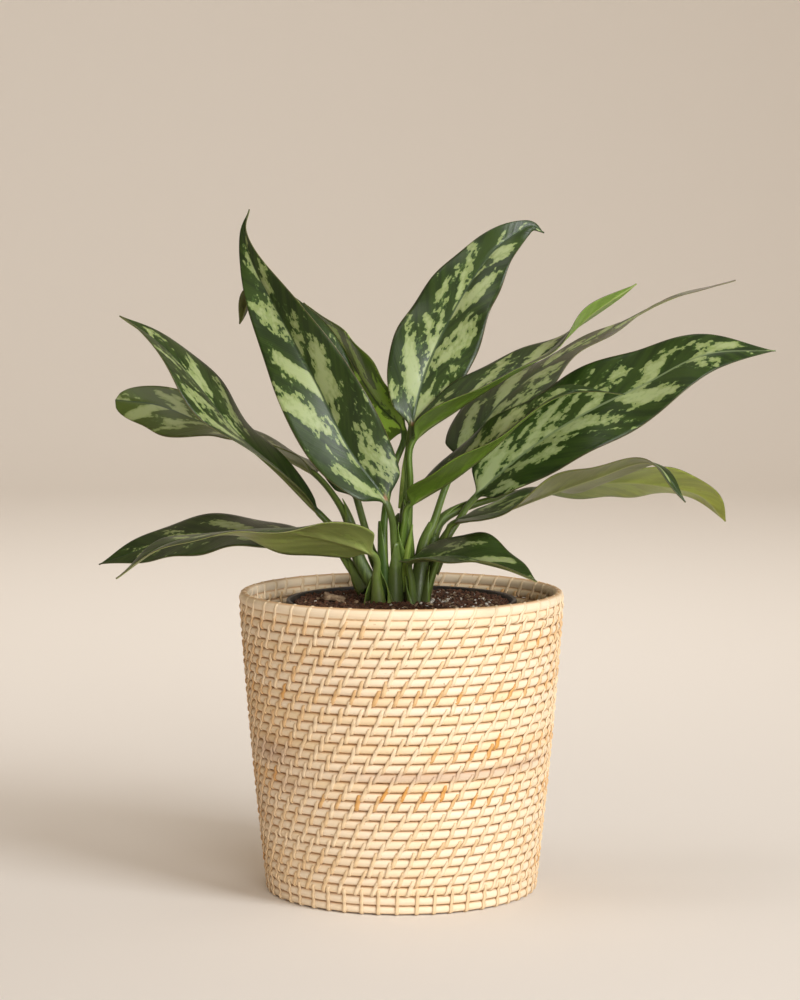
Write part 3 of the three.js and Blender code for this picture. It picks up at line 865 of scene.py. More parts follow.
class Lashing(Enum):
    """Where a strip of binding cane runs: pairs of a rod, counted up from its own, and an angle on it.

    The angle is in degrees round the rod's section, 0 facing out and 90 on top. The third number is how far
    the strip stands off the rod, in millimetres, and the fourth its width as a share of the full width.
    """

    WALL = ((1, 34, -0.9, 0.45), (1, 18, -0.1, 0.7), (1, -8, 0.45, 0.9), (1, -42, 0.6, 1.0),
            (0, 42, 0.65, 1.0), (0, 12, 0.6, 1.0), (0, -20, 0.55, 0.95), (0, -50, 0.35, 0.85),
            (0, -80, -0.3, 0.75))
    RIM = ((0, -78, -0.3, 0.8), (0, -45, 0.3, 0.9), (0, -5, 0.4, 1.0), (0, 40, 0.45, 1.0),
           (1, -35, 0.0, 0.9), (1, 0, -0.12, 0.85), (1, 40, -0.14, 0.85), (1, 90, -0.14, 0.85),
           (1, 140, -0.14, 0.85), (1, 180, -0.12, 0.85), (1, 215, 0.0, 0.9), (0, 140, 0.45, 1.0),
           (0, 185, 0.4, 1.0), (0, 225, 0.3, 0.9), (0, 258, -0.3, 0.8))
    FOOT = ((2, 28, -0.7, 0.5), (2, 10, 0.1, 0.7), (2, -12, 0.5, 0.8), (2, -42, 0.6, 0.85),
            (1, 42, 0.6, 0.85), (1, 0, 0.6, 0.85), (1, -42, 0.6, 0.85), (0, 42, 0.6, 0.85),
            (0, 0, 0.65, 0.9), (0, -40, 0.7, 0.9), (0, -75, 0.2, 0.8), (0, -110, -0.3, 0.7))


@dataclass(frozen=True)
class Stain:
    """A discoloured place on the basket: where it is, how far it spreads and how dark it is."""

    angle: float  # degrees to the right of the front
    height: float  # mm above the underside
    angle_spread: float
    height_spread: float
    strength: float

    def at(self, points: np.ndarray) -> np.ndarray:
        """Says how strongly it marks some points.

        Args:
            points: Rows of x, y and z.

        Returns:
            A strength for each point, from 0 up.
        """
        angle = np.degrees(np.arctan2(points[:, 0], -points[:, 1]))
        outer = (np.abs((angle - self.angle + 180) % 360 - 180) / self.angle_spread) ** 2
        upright = ((points[:, 2] / MM - self.height) / self.height_spread) ** 2
        return self.strength * np.exp(-outer - upright)


@dataclass
class Basket:
    """The coiled basket: turns of rattan core lashed together with strips of rattan peel."""

    rows: int = 31  # turns of rod below the rim
    stitches: int = 48  # strips in each turn
    belly: float = 1.2 * MM
    foot_radius: float = 93.2 * MM
    rod_share: float = 1.01  # a rod's thickness as a share of the step from turn to turn
    inset: float = 0.7 * MM  # how far the rods lie in, so that the strips are what is outermost
    relief: float = 1.3 * MM  # how far the rim rod stands above the last step
    rim_stretch: float = 1.22  # how much taller than round the rim rod is
    rim_cover: float = 0.9 * MM  # what the strips need above the rim rod
    foot_rod_share: float = 0.9  # thickness of the lowest turn as a share of the others'
    floor_lift: float = 0.3 * MM  # of the floor and of the lowest turn
    floor_rod_share: float = 0.44  # radius of the floor's rod as a share of the step
    floor_eye: float = 2 * MM  # by which the floor's coil stops short of the middle
    floor_segments: int = 96
    unevenness: tuple[float, float] = (14 * MM, 0.35 * MM)  # of the rods: its size and its height
    strip_width: float = 2.8 * MM
    strip_thickness: float = 0.65 * MM
    strip_crown: float = 0.22 * MM  # how far a strip swells along its middle
    strip_columns: tuple[float, ...] = (-1.0, -0.35, 0.35, 1.0)  # across a strip, as shares of its half width
    strip_stretch: tuple[float, float] = (0.86, 1.1)  # narrowest and widest strip
    lean: float = 19.0  # degrees from upright
    lean_sway: float = 9.0  # how much that changes round the basket
    sway_start: float = 0.3  # where on the turn the sway starts, in radians
    lean_spread: float = 4.0  # how much it differs from strip to strip
    foot_lean: float = 0.12  # share of that lean that the strips at the foot have
    row_shift: float = -0.36  # from one row's strips to the next row down, in strips
    row_spread: float = 0.06  # how far a row is off its place, in strips
    stitch_spread: float = 0.045  # how far a strip is off its place, in strips
    strip_run: int = 17  # stitches that one strip lasts for
    tint_spread: float = 0.07
    tint_limit: float = 0.97  # the darkest shade by chance
    plain_tint: float = 0.4  # share of its tint that a strip of the rim or the foot keeps
    turn_segments: int = 144
    rod_segments: int = 12
    floor_rings: int = 14
    seed: int = 7
    stains: tuple[Stain, ...] = (
        Stain(12, 94, 34, 3.5, 0.5), Stain(52, 97, 20, 3.0, 0.35), Stain(-58, 104, 15, 9, 0.45),
        Stain(-48, 84, 10, 6, 0.3), Stain(-70, 60, 12, 12, 0.18), Stain(150, 120, 25, 6, 0.3))
    accents: tuple[tuple[int, float, float], ...] = (  # orange strips: row, and degrees right of the front
        (12, -8, 18), (17, 30, 42))

    def __post_init__(self) -> None:
        """Takes the outer sizes from the frame's solid."""
        low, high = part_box("basket")
        self.height = high.z
        self.rim_radius = (high.x - low.x) / 2
        self.step = (self.height - self.relief) / (self.rows + 1)
        self.dice = random.Random(self.seed)

    def outside(self, height: float) -> float:
        """Radius of the wall at the crest of a rod at a height."""
        share = height / self.height
        return (self.foot_radius + (self.rim_radius - self.foot_radius) * share
                + self.belly * math.sin(math.pi * share))

    def rod(self, row: int) -> tuple[float, float, float]:
        """Where a turn of rod runs.

        Args:
            row: The turn, counted from 0 at the foot; the last one is the rim.

        Returns:
            Radius of its centre line, height of its centre line and radius of the rod.
        """
        thick = self.step * self.rod_share / 2
        height = self.step * (row + 0.5)
        lift = 0.0
        if row == 0:
            thick *= self.foot_rod_share
            lift = self.floor_lift
        return self.outside(height) - self.inset - thick, height + lift, thick

    def rim_middle(self) -> float:
        """Height of the stretched rim rod's centre line."""
        return self.height - self.rod(self.rows)[2] * self.rim_stretch - self.rim_cover

    def rods(self) -> bpy.types.Object:
        """Makes every turn of rod, the rim and the floor's coil.

        Returns:
            All of them as one piece.
        """
        turns = [self.turn(*self.rod(row), self.turn_segments) for row in range(self.rows + 1)]
        rim = turns[-1].data
        rim.transform(Matrix.Translation((0, 0, -self.rod(self.rows)[1])))
        rim.transform(Matrix.Scale(self.rim_stretch, 4, (0, 0, 1)))
        rim.transform(Matrix.Translation((0, 0, self.rim_middle())))
        outer = self.rod(0)[0] - self.step
        for ring in range(self.floor_rings):
            radius = outer * (1 - ring / self.floor_rings) + self.floor_eye
            turns.append(self.turn(radius, self.step / 2 + self.floor_lift, self.step * self.floor_rod_share,
                                   self.floor_segments))
        whole = joined(turns, "basket_rods")
        roughen(whole, *self.unevenness)
        smooth(whole)
        return whole

    def turn(self, radius: float, height: float, thick: float, segments: int) -> bpy.types.Object:
        """Makes one closed turn of rod, its seam at the back, with a shade of its own.

        Args:
            radius: Radius of its centre line.
            height: Height of its centre line.
            thick: Radius of the rod.
            segments: How many straight pieces it has.

        Returns:
            The turn of rod.
        """
        deselect_all()
        bpy.ops.mesh.primitive_torus_add(
            major_radius=radius, minor_radius=thick, major_segments=segments,
            minor_segments=self.rod_segments, generate_uvs=True, location=(0, 0, 0))
        ring = bpy.context.view_layer.objects.active
        # groove runs from 0 at the rod's middle height to 1 at its top and bottom, where the painted shade
        # between the turns lies
        paint(ring.data, "groove", np.abs(coordinates(ring.data)[:, 2]) / thick)
        ring.data.transform(Matrix.Translation((0, 0, height)) @ Matrix.Rotation(math.pi / 2, 4, "Z"))
        paint(ring.data, "tint", np.full(len(ring.data.vertices), self.dice.random() ** 1.5))
        return ring

    def strip(self, lashing: Lashing, row: int, outward: bool) -> bpy.types.Object:
        """Models one strip of peel as it lies on the rods at a row.

        It is made as it is seen by someone who faces it: +X to the right, -Y towards them and the centre of
        its rod at the origin. It is crowned across its width, and each point keeps its place along the strip,
        by which lash leans each copy.

        Args:
            lashing: The strip's route over the rods.
            row: The row of its own rod.
            outward: Whether it lies on the wall's outside.

        Returns:
            The strip as a closed piece.
        """
        radius, height, _ = self.rod(row)
        spine, widths = [], []
        for up, degrees, stand_off, width in lashing.value:
            rod_radius, rod_height, thick = self.rod(row + up)
            tall = 1.0
            if row + up == self.rows:
                tall = self.rim_stretch
                rod_height = self.rim_middle()
            away = (radius - rod_radius) * (1 if outward else -1)
            reach = thick + stand_off * MM
            angle = math.radians(degrees)
            spine.append((away - reach * math.cos(angle),
                          rod_height - height + reach * tall * math.sin(angle)))
            widths.append(width)
        spine = np.array(spine)
        route = reach_along(spine)
        route -= route[len(route) // 2]
        if spine[-1, 1] < spine[0, 1]:
            route = -route
        columns = np.array(self.strip_columns)
        slope = np.gradient(spine, axis=0)
        outward_normal = unit(np.stack([-slope[:, 1], slope[:, 0]], 1))
        probe = 0 if lashing is Lashing.RIM else len(spine) // 2  # a place that surely faces the viewer
        if outward_normal[probe, 0] > 0:
            outward_normal = -outward_normal
        crown = self.strip_crown * (1 - columns ** 2)
        points = np.zeros((len(spine), len(columns), 3))
        points[..., 0] = columns * np.array(widths)[:, None] * self.strip_width / 2
        points[..., 1] = spine[:, :1] + outward_normal[:, :1] * crown
        points[..., 2] = spine[:, 1:] + outward_normal[:, 1:] * crown
        piece = sheet_from_grid("strip", points, {"route": np.tile(route[:, None], len(columns))})
        apply_modifier(piece, "SOLIDIFY", thickness=self.strip_thickness, offset=0.0)
        face_outwards(piece)
        smooth(piece)
        return piece

    def new_tint(self) -> float:
        """A shade for a fresh strip, more often pale than dark."""
        return self.dice.random() ** 2.0 * 0.9

    def lash(self, name: str, lashing: Lashing, rows: Iterable[int], outward: bool) -> bpy.types.Object:
        """Copies strips round and up the wall.

        Args:
            name: The piece's name.
            lashing: The strips' route over the rods.
            rows: The rows of their own rods.
            outward: Whether they lie on the wall's outside.

        Returns:
            All the strips as one piece.
        """
        strips = []
        pitch = FULL_TURN / self.stitches
        for row in rows:
            template = self.strip(lashing, row, outward)
            routes = np.zeros(len(template.data.vertices))
            template.data.attributes["route"].data.foreach_get("value", routes)
            radius, height, _ = self.rod(row)
            phase = (self.row_shift * (self.rows - row)
                     + self.dice.uniform(-self.row_spread, self.row_spread))
            run_start = self.dice.randrange(self.strip_run)
            shade = self.new_tint()
            for stitch in range(self.stitches):
                if (stitch + run_start) % self.strip_run == 0:
                    shade = self.new_tint()
                angle = (stitch + phase + self.dice.gauss(0, self.stitch_spread)) * pitch
                right_of_front = (math.degrees(angle) + 180) % 360 - 180
                lean = (self.lean + self.lean_sway * math.sin(angle + self.sway_start)
                        + self.dice.gauss(0, self.lean_spread))
                if lashing is Lashing.FOOT:
                    lean *= self.foot_lean
                tint = min(max(shade + self.dice.gauss(0, self.tint_spread), 0), self.tint_limit)
                if lashing is not Lashing.WALL:
                    tint *= self.plain_tint
                if any(row == turn and first < right_of_front < last for turn, first, last in self.accents):
                    tint = 1.0
                twin = copy_of(template, Matrix.Diagonal((self.dice.uniform(*self.strip_stretch), 1, 1, 1)))
                points = coordinates(twin.data)
                points[:, 0] += routes * math.tan(math.radians(lean))
                place_vertices(twin.data, points)
                place = Matrix.Rotation(angle, 4, "Z") @ Matrix.Translation((0, -radius, height))
                if not outward:
                    place = place @ Matrix.Rotation(math.pi, 4, "Z")
                twin.data.transform(place)
                paint(twin.data, "tint", np.full(len(points), tint))
                strips.append(twin)
            remove(template)
        return joined(strips, name)

    def mark_stains(self, piece: bpy.types.Object) -> None:
        """Stores how far each point of a piece is stained."""
        points = coordinates(piece.data)
        paint(piece.data, "stain", np.clip(sum(stain.at(points) for stain in self.stains), 0, 0.8))

    def build(self) -> None:
        """Builds and dresses the whole basket."""
        core = RattanCore().material()
        peel = RattanPeel().material()
        rods = self.rods()
        self.mark_stains(rods)
        finish_piece(rods, core, Slot.RATTAN, "basket")
        for name, lashing, rows, outward in (
                ("basket_lashing_outside", Lashing.WALL, range(2, self.rows - 1), True),
                ("basket_lashing_inside", Lashing.WALL, range(1, self.rows - 1), False),
                ("basket_lashing_rim", Lashing.RIM, [self.rows - 1], True),
                ("basket_lashing_foot", Lashing.FOOT, [0], True)):
            strips = self.lash(name, lashing, rows, outward)
            self.mark_stains(strips)
            finish_piece(strips, peel, Slot.RATTAN)


# ---------------------------------------------------------------- nursery pot and soil


@dataclass
class NurseryPot:
    """The thin black pot that the plant stands in."""

    rim_depth: float = 9 * MM
    rim_wall: float = 2.6 * MM
    wall: float = 1.5 * MM
    mouth_radius: float = 76.4 * MM
    foot_radius: float = 60 * MM
    chamfer: float = 2 * MM
    edge: float = 0.5 * MM  # rounding of the lip
    sides: int = 128
    smooth_angle: float = 40.0  # edges sharper than this stay sharp, in degrees

    def __post_init__(self) -> None:
        """Takes the outer sizes from the frame's solid."""
        low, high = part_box("nursery_pot")
        self.foot = low.z
        self.top = high.z
        self.rim_radius = (high.x - low.x) / 2

    def radius(self, height: float) -> float:
        """Outside radius of the wall at a height."""
        share = (height - self.foot) / (self.top - self.foot)
        return self.foot_radius + (self.mouth_radius - self.foot_radius) * share

    def build(self) -> None:
        """Builds and dresses the pot."""
        step = self.top - self.rim_depth
        lip = self.rim_radius - self.rim_wall / 2
        profile = [
            (self.radius(self.foot) - self.chamfer, self.foot),
            (self.radius(self.foot), self.foot + self.chamfer),
            (self.radius(step), step),
            (self.rim_radius - self.edge, step + self.edge),
            (self.rim_radius, step + 2 * self.edge),
            (self.rim_radius, self.top - self.edge),
            (self.rim_radius - self.edge, self.top),
            (lip, self.top),
            (self.rim_radius - self.rim_wall, self.top - self.edge),
            (self.radius(step) - self.wall, step),
            (self.radius(self.foot + self.wall) - self.wall, self.foot + self.wall),
        ]
        pot = raised_from_circle("nursery_pot_shell", profile, self.sides)
        select_only([pot])
        bpy.ops.object.shade_smooth_by_angle(angle=math.radians(self.smooth_angle))
        finish_piece(pot, BlackPolypropylene().material(), Slot.POT, "nursery_pot")


@dataclass(frozen=True)
class Strewing:
    """Small lumps that are strewn over the soil."""

    name: str
    count: int
    radii_mm: tuple[float, float]  # of the smallest and the largest lump
    squash: float  # height of a lump as a share of its width
    right_share: float = 0.0  # share of them that lies to the right of the middle
    heaped: bool = False  # whether they lie heaped against the pot's wall


CRUMBS = Strewing("soil_crumbs", 1500, (0.7, 2.3), 0.75)
EDGE_CRUMBS = Strewing("soil_edge_crumbs", 420, (0.9, 1.9), 0.8, heaped=True)
BARK_CRUMBS = Strewing("bark_crumbs", 260, (1.0, 2.6), 0.4, 0.2)
PERLITE_GRAINS = Strewing("perlite_grains", 210, (0.5, 1.5), 0.9, 0.6)


@dataclass
class Soil:
    """The potting mix: a plug with a crumbly top, loose crumbs, perlite grains and a chip of bark."""

    pot: NurseryPot
    edge: float = 196.6 * MM
    crown: float = 197.8 * MM
    clearance: float = 0.3 * MM
    rings: int = 46
    sides: int = 150
    swellings: tuple[tuple[float, float], ...] = ((9 * MM, 2.4 * MM), (2.6 * MM, 1.6 * MM))  # size, height
    bare_edge: float = 2.5 * MM  # what the loose lumps keep from the pot's wall
    heap_from: float = 1.6  # nearest and farthest that a heaped crumb lies from the wall, in mm
    heap_to: float = 6.0
    heap_height: float = 2.2 * MM
    heap_slope: float = 0.5
    right_spread: float = 0.9  # of the lumps to the right, in radians
    size_spread: tuple[float, float] = (0.7, 1.3)  # of a lump's length and width
    height_spread: tuple[float, float] = (0.7, 1.2)
    tilt: float = 0.35  # of the axis that a lump is turned about
    lift: float = 0.35  # of a lump's middle over the surface, as a share of its height
    chip_size: Point = (15 * MM, 9 * MM, 4 * MM)
    chip_place: Point = (-46 * MM, 2 * MM, 2.4 * MM)  # its height is over the crown
    chip_axis: Point = (0.4, 1, 0.5)
    chip_turn: float = 0.25
    seed: int = 11

    def __post_init__(self) -> None:
        """Seeds the scatter."""
        self.dice = random.Random(self.seed)
        self.radius = self.pot.radius(self.edge) - self.pot.wall - self.clearance

    def surface(self, radius: float) -> float:
        """Height of the smoothed surface at a distance from the middle."""
        return self.crown + (self.edge - self.crown) * (radius / self.radius) ** 2

    def plug(self) -> bpy.types.Object:
        """Makes the body of the soil with its uneven top.

        Returns:
            The plug as a closed piece.
        """
        bottom = self.pot.foot + self.pot.wall + self.clearance
        inner = self.pot.radius(bottom) - self.pot.wall - self.clearance
        profile = [(inner, bottom), (self.radius, self.edge)]
        for ring in range(self.rings, 0, -1):
            radius = self.radius * ring / (self.rings + 1)
            profile.append((radius, self.surface(radius)))
        piece = raised_from_circle("soil_plug", profile, self.sides)
        group = piece.vertex_groups.new(name="top")
        points = coordinates(piece.data)
        reach = np.hypot(points[:, 0], points[:, 1])
        for index in np.flatnonzero((points[:, 2] > self.edge - MM) & (reach < self.radius - MM)):
            group.add([int(index)], 1.0, "REPLACE")
        for size, height in self.swellings:
            roughen(piece, size, height, "top")
        smooth(piece)
        return piece

    def scatter(self, strewing: Strewing) -> bpy.types.Object:
        """Strews small lumps over the soil.

        Args:
            strewing: What the lumps are like.

        Returns:
            All the lumps as one piece.
        """
        deselect_all()
        bpy.ops.mesh.primitive_ico_sphere_add(subdivisions=1, radius=1, location=(0, 0, 0))
        template = named(strewing.name)
        smallest, largest = strewing.radii_mm
        lumps = []
        for _ in range(strewing.count):
            reach = (self.radius - self.bare_edge) * math.sqrt(self.dice.random())
            heap = 0.0
            if strewing.heaped:
                reach = self.radius - self.dice.uniform(self.heap_from, self.heap_to) * MM
                heap = max(self.heap_height - (self.radius - reach) * self.heap_slope, 0) * self.dice.random()
            angle = self.dice.uniform(0, FULL_TURN)
            if self.dice.random() < strewing.right_share:
                angle = self.dice.gauss(0, self.right_spread)
            size = self.dice.uniform(smallest * MM, largest * MM)
            tall = size * strewing.squash
            turn = Matrix.Rotation(self.dice.uniform(0, FULL_TURN), 4, self.random_axis())
            shape = Matrix.Diagonal((size * self.dice.uniform(*self.size_spread),
                                     size * self.dice.uniform(*self.size_spread),
                                     tall * self.dice.uniform(*self.height_spread), 1))
            place = Matrix.Translation((reach * math.cos(angle), reach * math.sin(angle),
                                        self.surface(reach) + tall * self.lift + heap))
            lumps.append(copy_of(template, place @ turn @ shape))
        remove(template)
        return joined(lumps, strewing.name)

    def random_axis(self) -> Vector:
        """A direction that lies mostly upright."""
        return Vector((self.dice.gauss(0, self.tilt), self.dice.gauss(0, self.tilt), 1)).normalized()

    def chip(self) -> bpy.types.Object:
        """Makes the chip of bark that lies on the soil at the left.

        Returns:
            The chip as a closed piece.
        """
        deselect_all()
        bpy.ops.mesh.primitive_cube_add(size=1, location=(0, 0, 0))
        chip = named("bark_chip")
        chip.data.transform(Matrix.Diagonal((*self.chip_size, 1)))
        apply_modifier(chip, "BEVEL", width=1.2 * MM, segments=2)
        apply_modifier(chip, "SUBSURF", levels=3, render_levels=3)
        roughen(chip, 3.5 * MM, 2.2 * MM)
        x, y, over = self.chip_place
        chip.data.transform(Matrix.Translation((x, y, self.crown + over))
                            @ Matrix.Rotation(self.chip_turn, 4, self.chip_axis))
        smooth(chip)
        return chip

    def build(self) -> None:
        """Builds and dresses the soil."""
        mix = PottingMix().material()
        bark = PottingMix("bark", "#6E5640", "#B39A7A", 3.0).material()
        perlite = PottingMix("perlite", "#C9BFAF", "#F4EFE6", 0.8).material()
        finish_piece(self.plug(), mix, Slot.SOIL, "soil")
        finish_piece(self.scatter(CRUMBS), mix, Slot.SOIL)
        finish_piece(self.scatter(EDGE_CRUMBS), mix, Slot.SOIL)
        finish_piece(self.chip(), bark, Slot.SOIL)
        finish_piece(self.scatter(BARK_CRUMBS), bark, Slot.SOIL)
        finish_piece(self.scatter(PERLITE_GRAINS), perlite, Slot.SOIL)


# ---------------------------------------------------------------- plant


@dataclass(frozen=True)
class BladeForm:
    """What all the leaves share, in millimetres and degrees."""

    rows: int = 110
    stalk_rows: int = 26
    half_columns: int = 11
    margin_thickness: float = 0.7
    middle_thickness: float = 1.1
    curl: float = 12.0  # by which each half bends down from the midrib to its margin
    rib_sink: float = 0.35  # how deep the midrib lies below the upper side
    rib_width: float = 0.07  # of the groove and the keel, as a share of the half width
    keel: float = 2.0  # how far the midrib stands out below at the blade's base
    tip_radius: float = 0.5
    base_roundness: float = 0.43
    shoulder: float = 1.75
    wave_fade: float = 0.7
    waves_apart: float = 0.31
    rib_step: float = 0.15  # the least that the midrib stands out below
    crowding: float = 1.15  # above 1, rows lie closer at the blade's base and columns at the midrib
    vein_step: float = 6.0  # from one side vein to the next along the midrib
    vein_run: float = 1.3  # how far a side vein runs forward for each step outwards
    quilt: float = 0.11  # how far the blade swells between two side veins
    quilt_fade: tuple[float, float] = (6.0, 5.0)  # how fast that sets in from the midrib and from the margin
    stalk_radius: float = 2.5
    stalk_flatness: float = 0.86
    sheath_radius: float = 3.4
    sheath_share: float = 0.77  # of the stalk, over which the sheath narrows to it
    join: float = 0.05  # share of the blade over which the stalk flattens into it
    tip_flatness: float = 0.6
    wing_thickness: float = 0.45
    wing_columns: int = 11
    wing_opening: tuple[float, float] = (150.0, 20.0)  # half the angle that it wraps, at foot and at point
    wing_gap: float = 0.35  # between the stalk and the open sheath, all along
    wing_point: float = 0.9  # how far its free point stands off
    plain_fade: float = 0.1  # share of the blade over which the flecks set in
    plain_drop: float = 0.6  # how far the flecks are held back where there are none
    dried_hex: str = "#A06A42"
    dried_strength: float = 0.85


FORM = BladeForm()


@dataclass(frozen=True)
class Leaf:
    """One leaf: its stalk's points from the cane up, then its midrib's points from base to tip, in mm."""

    name: str
    stalk: tuple[Point, ...]
    rib: tuple[Point, ...]
    half: float  # largest half width
    widest: float  # where along the blade that lies
    taper: float
    face: tuple[Point, ...]  # the way the upper side faces, at even steps from base to tip
    left: tuple[float, ...]  # how far the left half is folded up, base to tip
    right: tuple[float, ...]
    wave: Point  # the margin's wave: height, number, where the first one starts
    roundness: float = FORM.base_roundness  # how fast the blade widens from its base
    shoulder: float = FORM.shoulder  # how full the blade stays before it tapers
    sheath: float = FORM.sheath_radius
    clasp: float = 1.3  # how far the open sheath stands off at its foot, in mm
    wing: float = 0.55  # share of the stalk that its open sheath reaches up, or 0 for none
    lower: tuple[str, ...] = ("#737C46",)  # colour of the lower side, base to tip
    rib_hex: str = "#34482B"  # colour of the midrib above
    tone_hex: str = "#5E8A20"  # what the upper side is toned with; a painted sheen on leaf_long_tail, painted light shining through on leaf_upright_behind
    tone: tuple[float, ...] = (0,)  # how much, base to tip
    fleck_toned: float = 0.4  # how much of that the flecks take
    lower_flecks: float = 0.1  # how far the flecks show through on the lower side, in the tone's colour
    plain_to: float = 0.0  # share of the blade that has no flecks, from its base
    dried: tuple[Point, ...] = ()  # dried places: share along, share across and radius in mm
    seed: float = 0.0  # which part of the fleck pattern falls on it
    flecks: float = 0.0  # more flecks above 0, fewer below

    def half_width(self, t: np.ndarray) -> np.ndarray:
        """Half width of the blade.

        Args:
            t: Shares of the blade's length.

        Returns:
            The half width at each share, in mm.
        """
        rise = (1 - (1 - np.clip(t / self.widest, 0, 1)) ** 2) ** self.roundness
        s = np.clip((t - self.widest) / (1 - self.widest), 0, 1)
        fall = (1 - s ** self.shoulder) ** self.taper
        return np.maximum(self.half * np.where(t < self.widest, rise, fall), FORM.tip_radius)

    def stalk_radius(self, t: np.ndarray) -> np.ndarray:
        """Radius of the stalk at blade shares from -1, the cane, to 0, the blade, in mm."""
        narrowed = ease(np.clip(t + 1, 0, 1) / FORM.sheath_share)
        return self.sheath + (FORM.stalk_radius - self.sheath) * narrowed

    def frames(self) -> tuple[np.ndarray, ...]:
        """Centre line and directions of the whole leaf, in mm.

        Returns:
            Points, right and facing directions, blade shares (-1 to 0 on the stalk) and millimetres along.
        """
        fine = catmull_rom([*self.stalk, *self.rib])
        start = len(self.stalk) * CURVE_PIECES
        stalk_line, blade_line = fine[:start + 1], fine[start:]
        stalk_shares = np.arange(FORM.stalk_rows) / FORM.stalk_rows
        blade_shares = np.linspace(0, 1, FORM.rows + 1) ** FORM.crowding
        points = np.vstack([at_shares(stalk_line, stalk_shares), at_shares(blade_line, blade_shares)])
        tangents = unit(np.gradient(points, axis=0))
        facing = square_to(along(self.face, blade_shares), tangents[FORM.stalk_rows:])
        upper = [facing[0]]
        for tangent in tangents[FORM.stalk_rows - 1::-1]:
            upper.append(square_to(upper[-1], tangent))
        facing = np.vstack([np.array(upper[:0:-1]), facing])
        shares = np.concatenate([stalk_shares - 1, blade_shares])
        run = np.concatenate([(stalk_shares - 1) * reach_along(stalk_line)[-1],
                              blade_shares * reach_along(blade_line)[-1]])
        return points, np.cross(tangents, facing), facing, shares, run

    def blade_face(self, points: np.ndarray, right: np.ndarray, facing: np.ndarray, t: np.ndarray,
                   run: np.ndarray, places: np.ndarray, face: int) -> np.ndarray:
        """Lays out one face of the blade.

        Args:
            points: The centre line.
            right: The direction to the right at each of its points.
            facing: The direction of the upper side.
            t: Shares of the blade's length.
            run: Millimetres along.
            places: Shares across, from -1 at the left margin to 1 at the right one.
            face: 1 for the upper face, -1 for the lower one.

        Returns:
            Rows along the blade by places across it.
        """
        side = np.sign(places)[None]
        share = np.abs(places)[None]
        curl = math.radians(FORM.curl)
        lift = np.where(side < 0, along(self.left, t)[:, None], along(self.right, t)[:, None])
        lift = np.radians(lift) + curl / 4
        width = self.half_width(t)[:, None]
        out = width * (np.sin(lift) - np.sin(lift - curl * share)) / curl
        up = width * (np.cos(lift - curl * share) - np.cos(lift)) / curl
        height, count, phase = self.wave
        turn = FULL_TURN * (count * t[:, None] + phase + np.where(side > 0, FORM.waves_apart, 0))
        still = np.sin(math.pi * np.clip(t, 0, 1))[:, None] ** FORM.wave_fade
        wave = height * share ** 2 * np.sin(turn) * still
        vein = (run[:, None] - FORM.vein_run * width * share) / FORM.vein_step
        inner_fade, outer_fade = FORM.quilt_fade
        belt = np.clip(share * inner_fade, 0, 1) * np.clip((1 - share) * outer_fade, 0, 1)
        quilt = FORM.quilt * np.cos(FULL_TURN * vein) * belt * still
        slope = np.where(side == 0, 0, lift - curl * share)
        thickness = FORM.middle_thickness + (FORM.margin_thickness - FORM.middle_thickness) * share
        near_rib = np.exp(-(share / FORM.rib_width) ** 2)
        rib = -near_rib * (FORM.rib_sink if face > 0 else FORM.keel * (1 - t[:, None]) + FORM.rib_step)
        away = side * out - side * np.sin(slope) * thickness / 2 * face
        lifted = up + wave + quilt + np.cos(slope) * thickness / 2 * face + rib
        return laid_out(points, right, facing, away, lifted)

    def marks(self, t: np.ndarray, run: np.ndarray, across: np.ndarray, out: np.ndarray,
              upper: np.ndarray | float) -> dict[str, np.ndarray]:
        """Gathers what the material needs to know of each point of a sheet.

        Args:
            t: Shares of the blade's length, for each row.
            run: Millimetres along, for each row.
            across: Shares across, for each column.
            out: Millimetres across, for each column, or for each row and column.
            upper: 1 on the upper side and 0 on the lower one, for each column.

        Returns:
            Attribute name to rows by columns of values.
        """
        shares = np.stack(np.broadcast_arrays(t[:, None], across, upper), -1)
        sizes = np.stack(np.broadcast_arrays(run[:, None], out, self.seed), -1)
        return {"leaf_share": shares, "leaf_mm": sizes}

    def body(self) -> bpy.types.Object:
        """Makes blade and stalk.

        Returns:
            Both as one closed piece.
        """
        points, right, facing, t, run = self.frames()
        half = np.linspace(0, 1, FORM.half_columns + 1)[1:] ** FORM.crowding
        places = np.concatenate([-half[::-1], [0], half])
        count = 2 * len(places)
        angle = math.pi - (np.arange(count) + 0.5) / count * FULL_TURN
        held = np.clip(t, 0, 1)
        radius = np.where(t < 0, self.stalk_radius(t), FORM.stalk_radius * (1 - held))
        radius[-1] = FORM.tip_radius
        oval = laid_out(points, right, facing, radius[:, None] * np.cos(angle),
                        radius[:, None] * FORM.stalk_flatness * np.sin(angle))
        upper = self.blade_face(points, right, facing, held, run, places, 1)
        lower = self.blade_face(points, right, facing, held, run, places, -1)
        flat = np.concatenate([upper, lower[:, ::-1]], 1)
        flatness = np.where(t <= 0, 0, ease(t / FORM.join))[:, None, None]
        flatness[-1] = FORM.tip_flatness
        rings = oval + (flat - oval) * flatness
        across = np.concatenate([places, places[::-1]])
        top = np.repeat([1.0, 0.0], len(places))
        marks = self.marks(t, run, across, self.half_width(held)[:, None] * across, top)
        closed = {name: np.concatenate([values, values[:, :1]], 1) for name, values in marks.items()}
        rings = np.concatenate([rings, rings[:, :1]], 1) * MM
        return closed_loft(self.name + "_body", rings, closed)

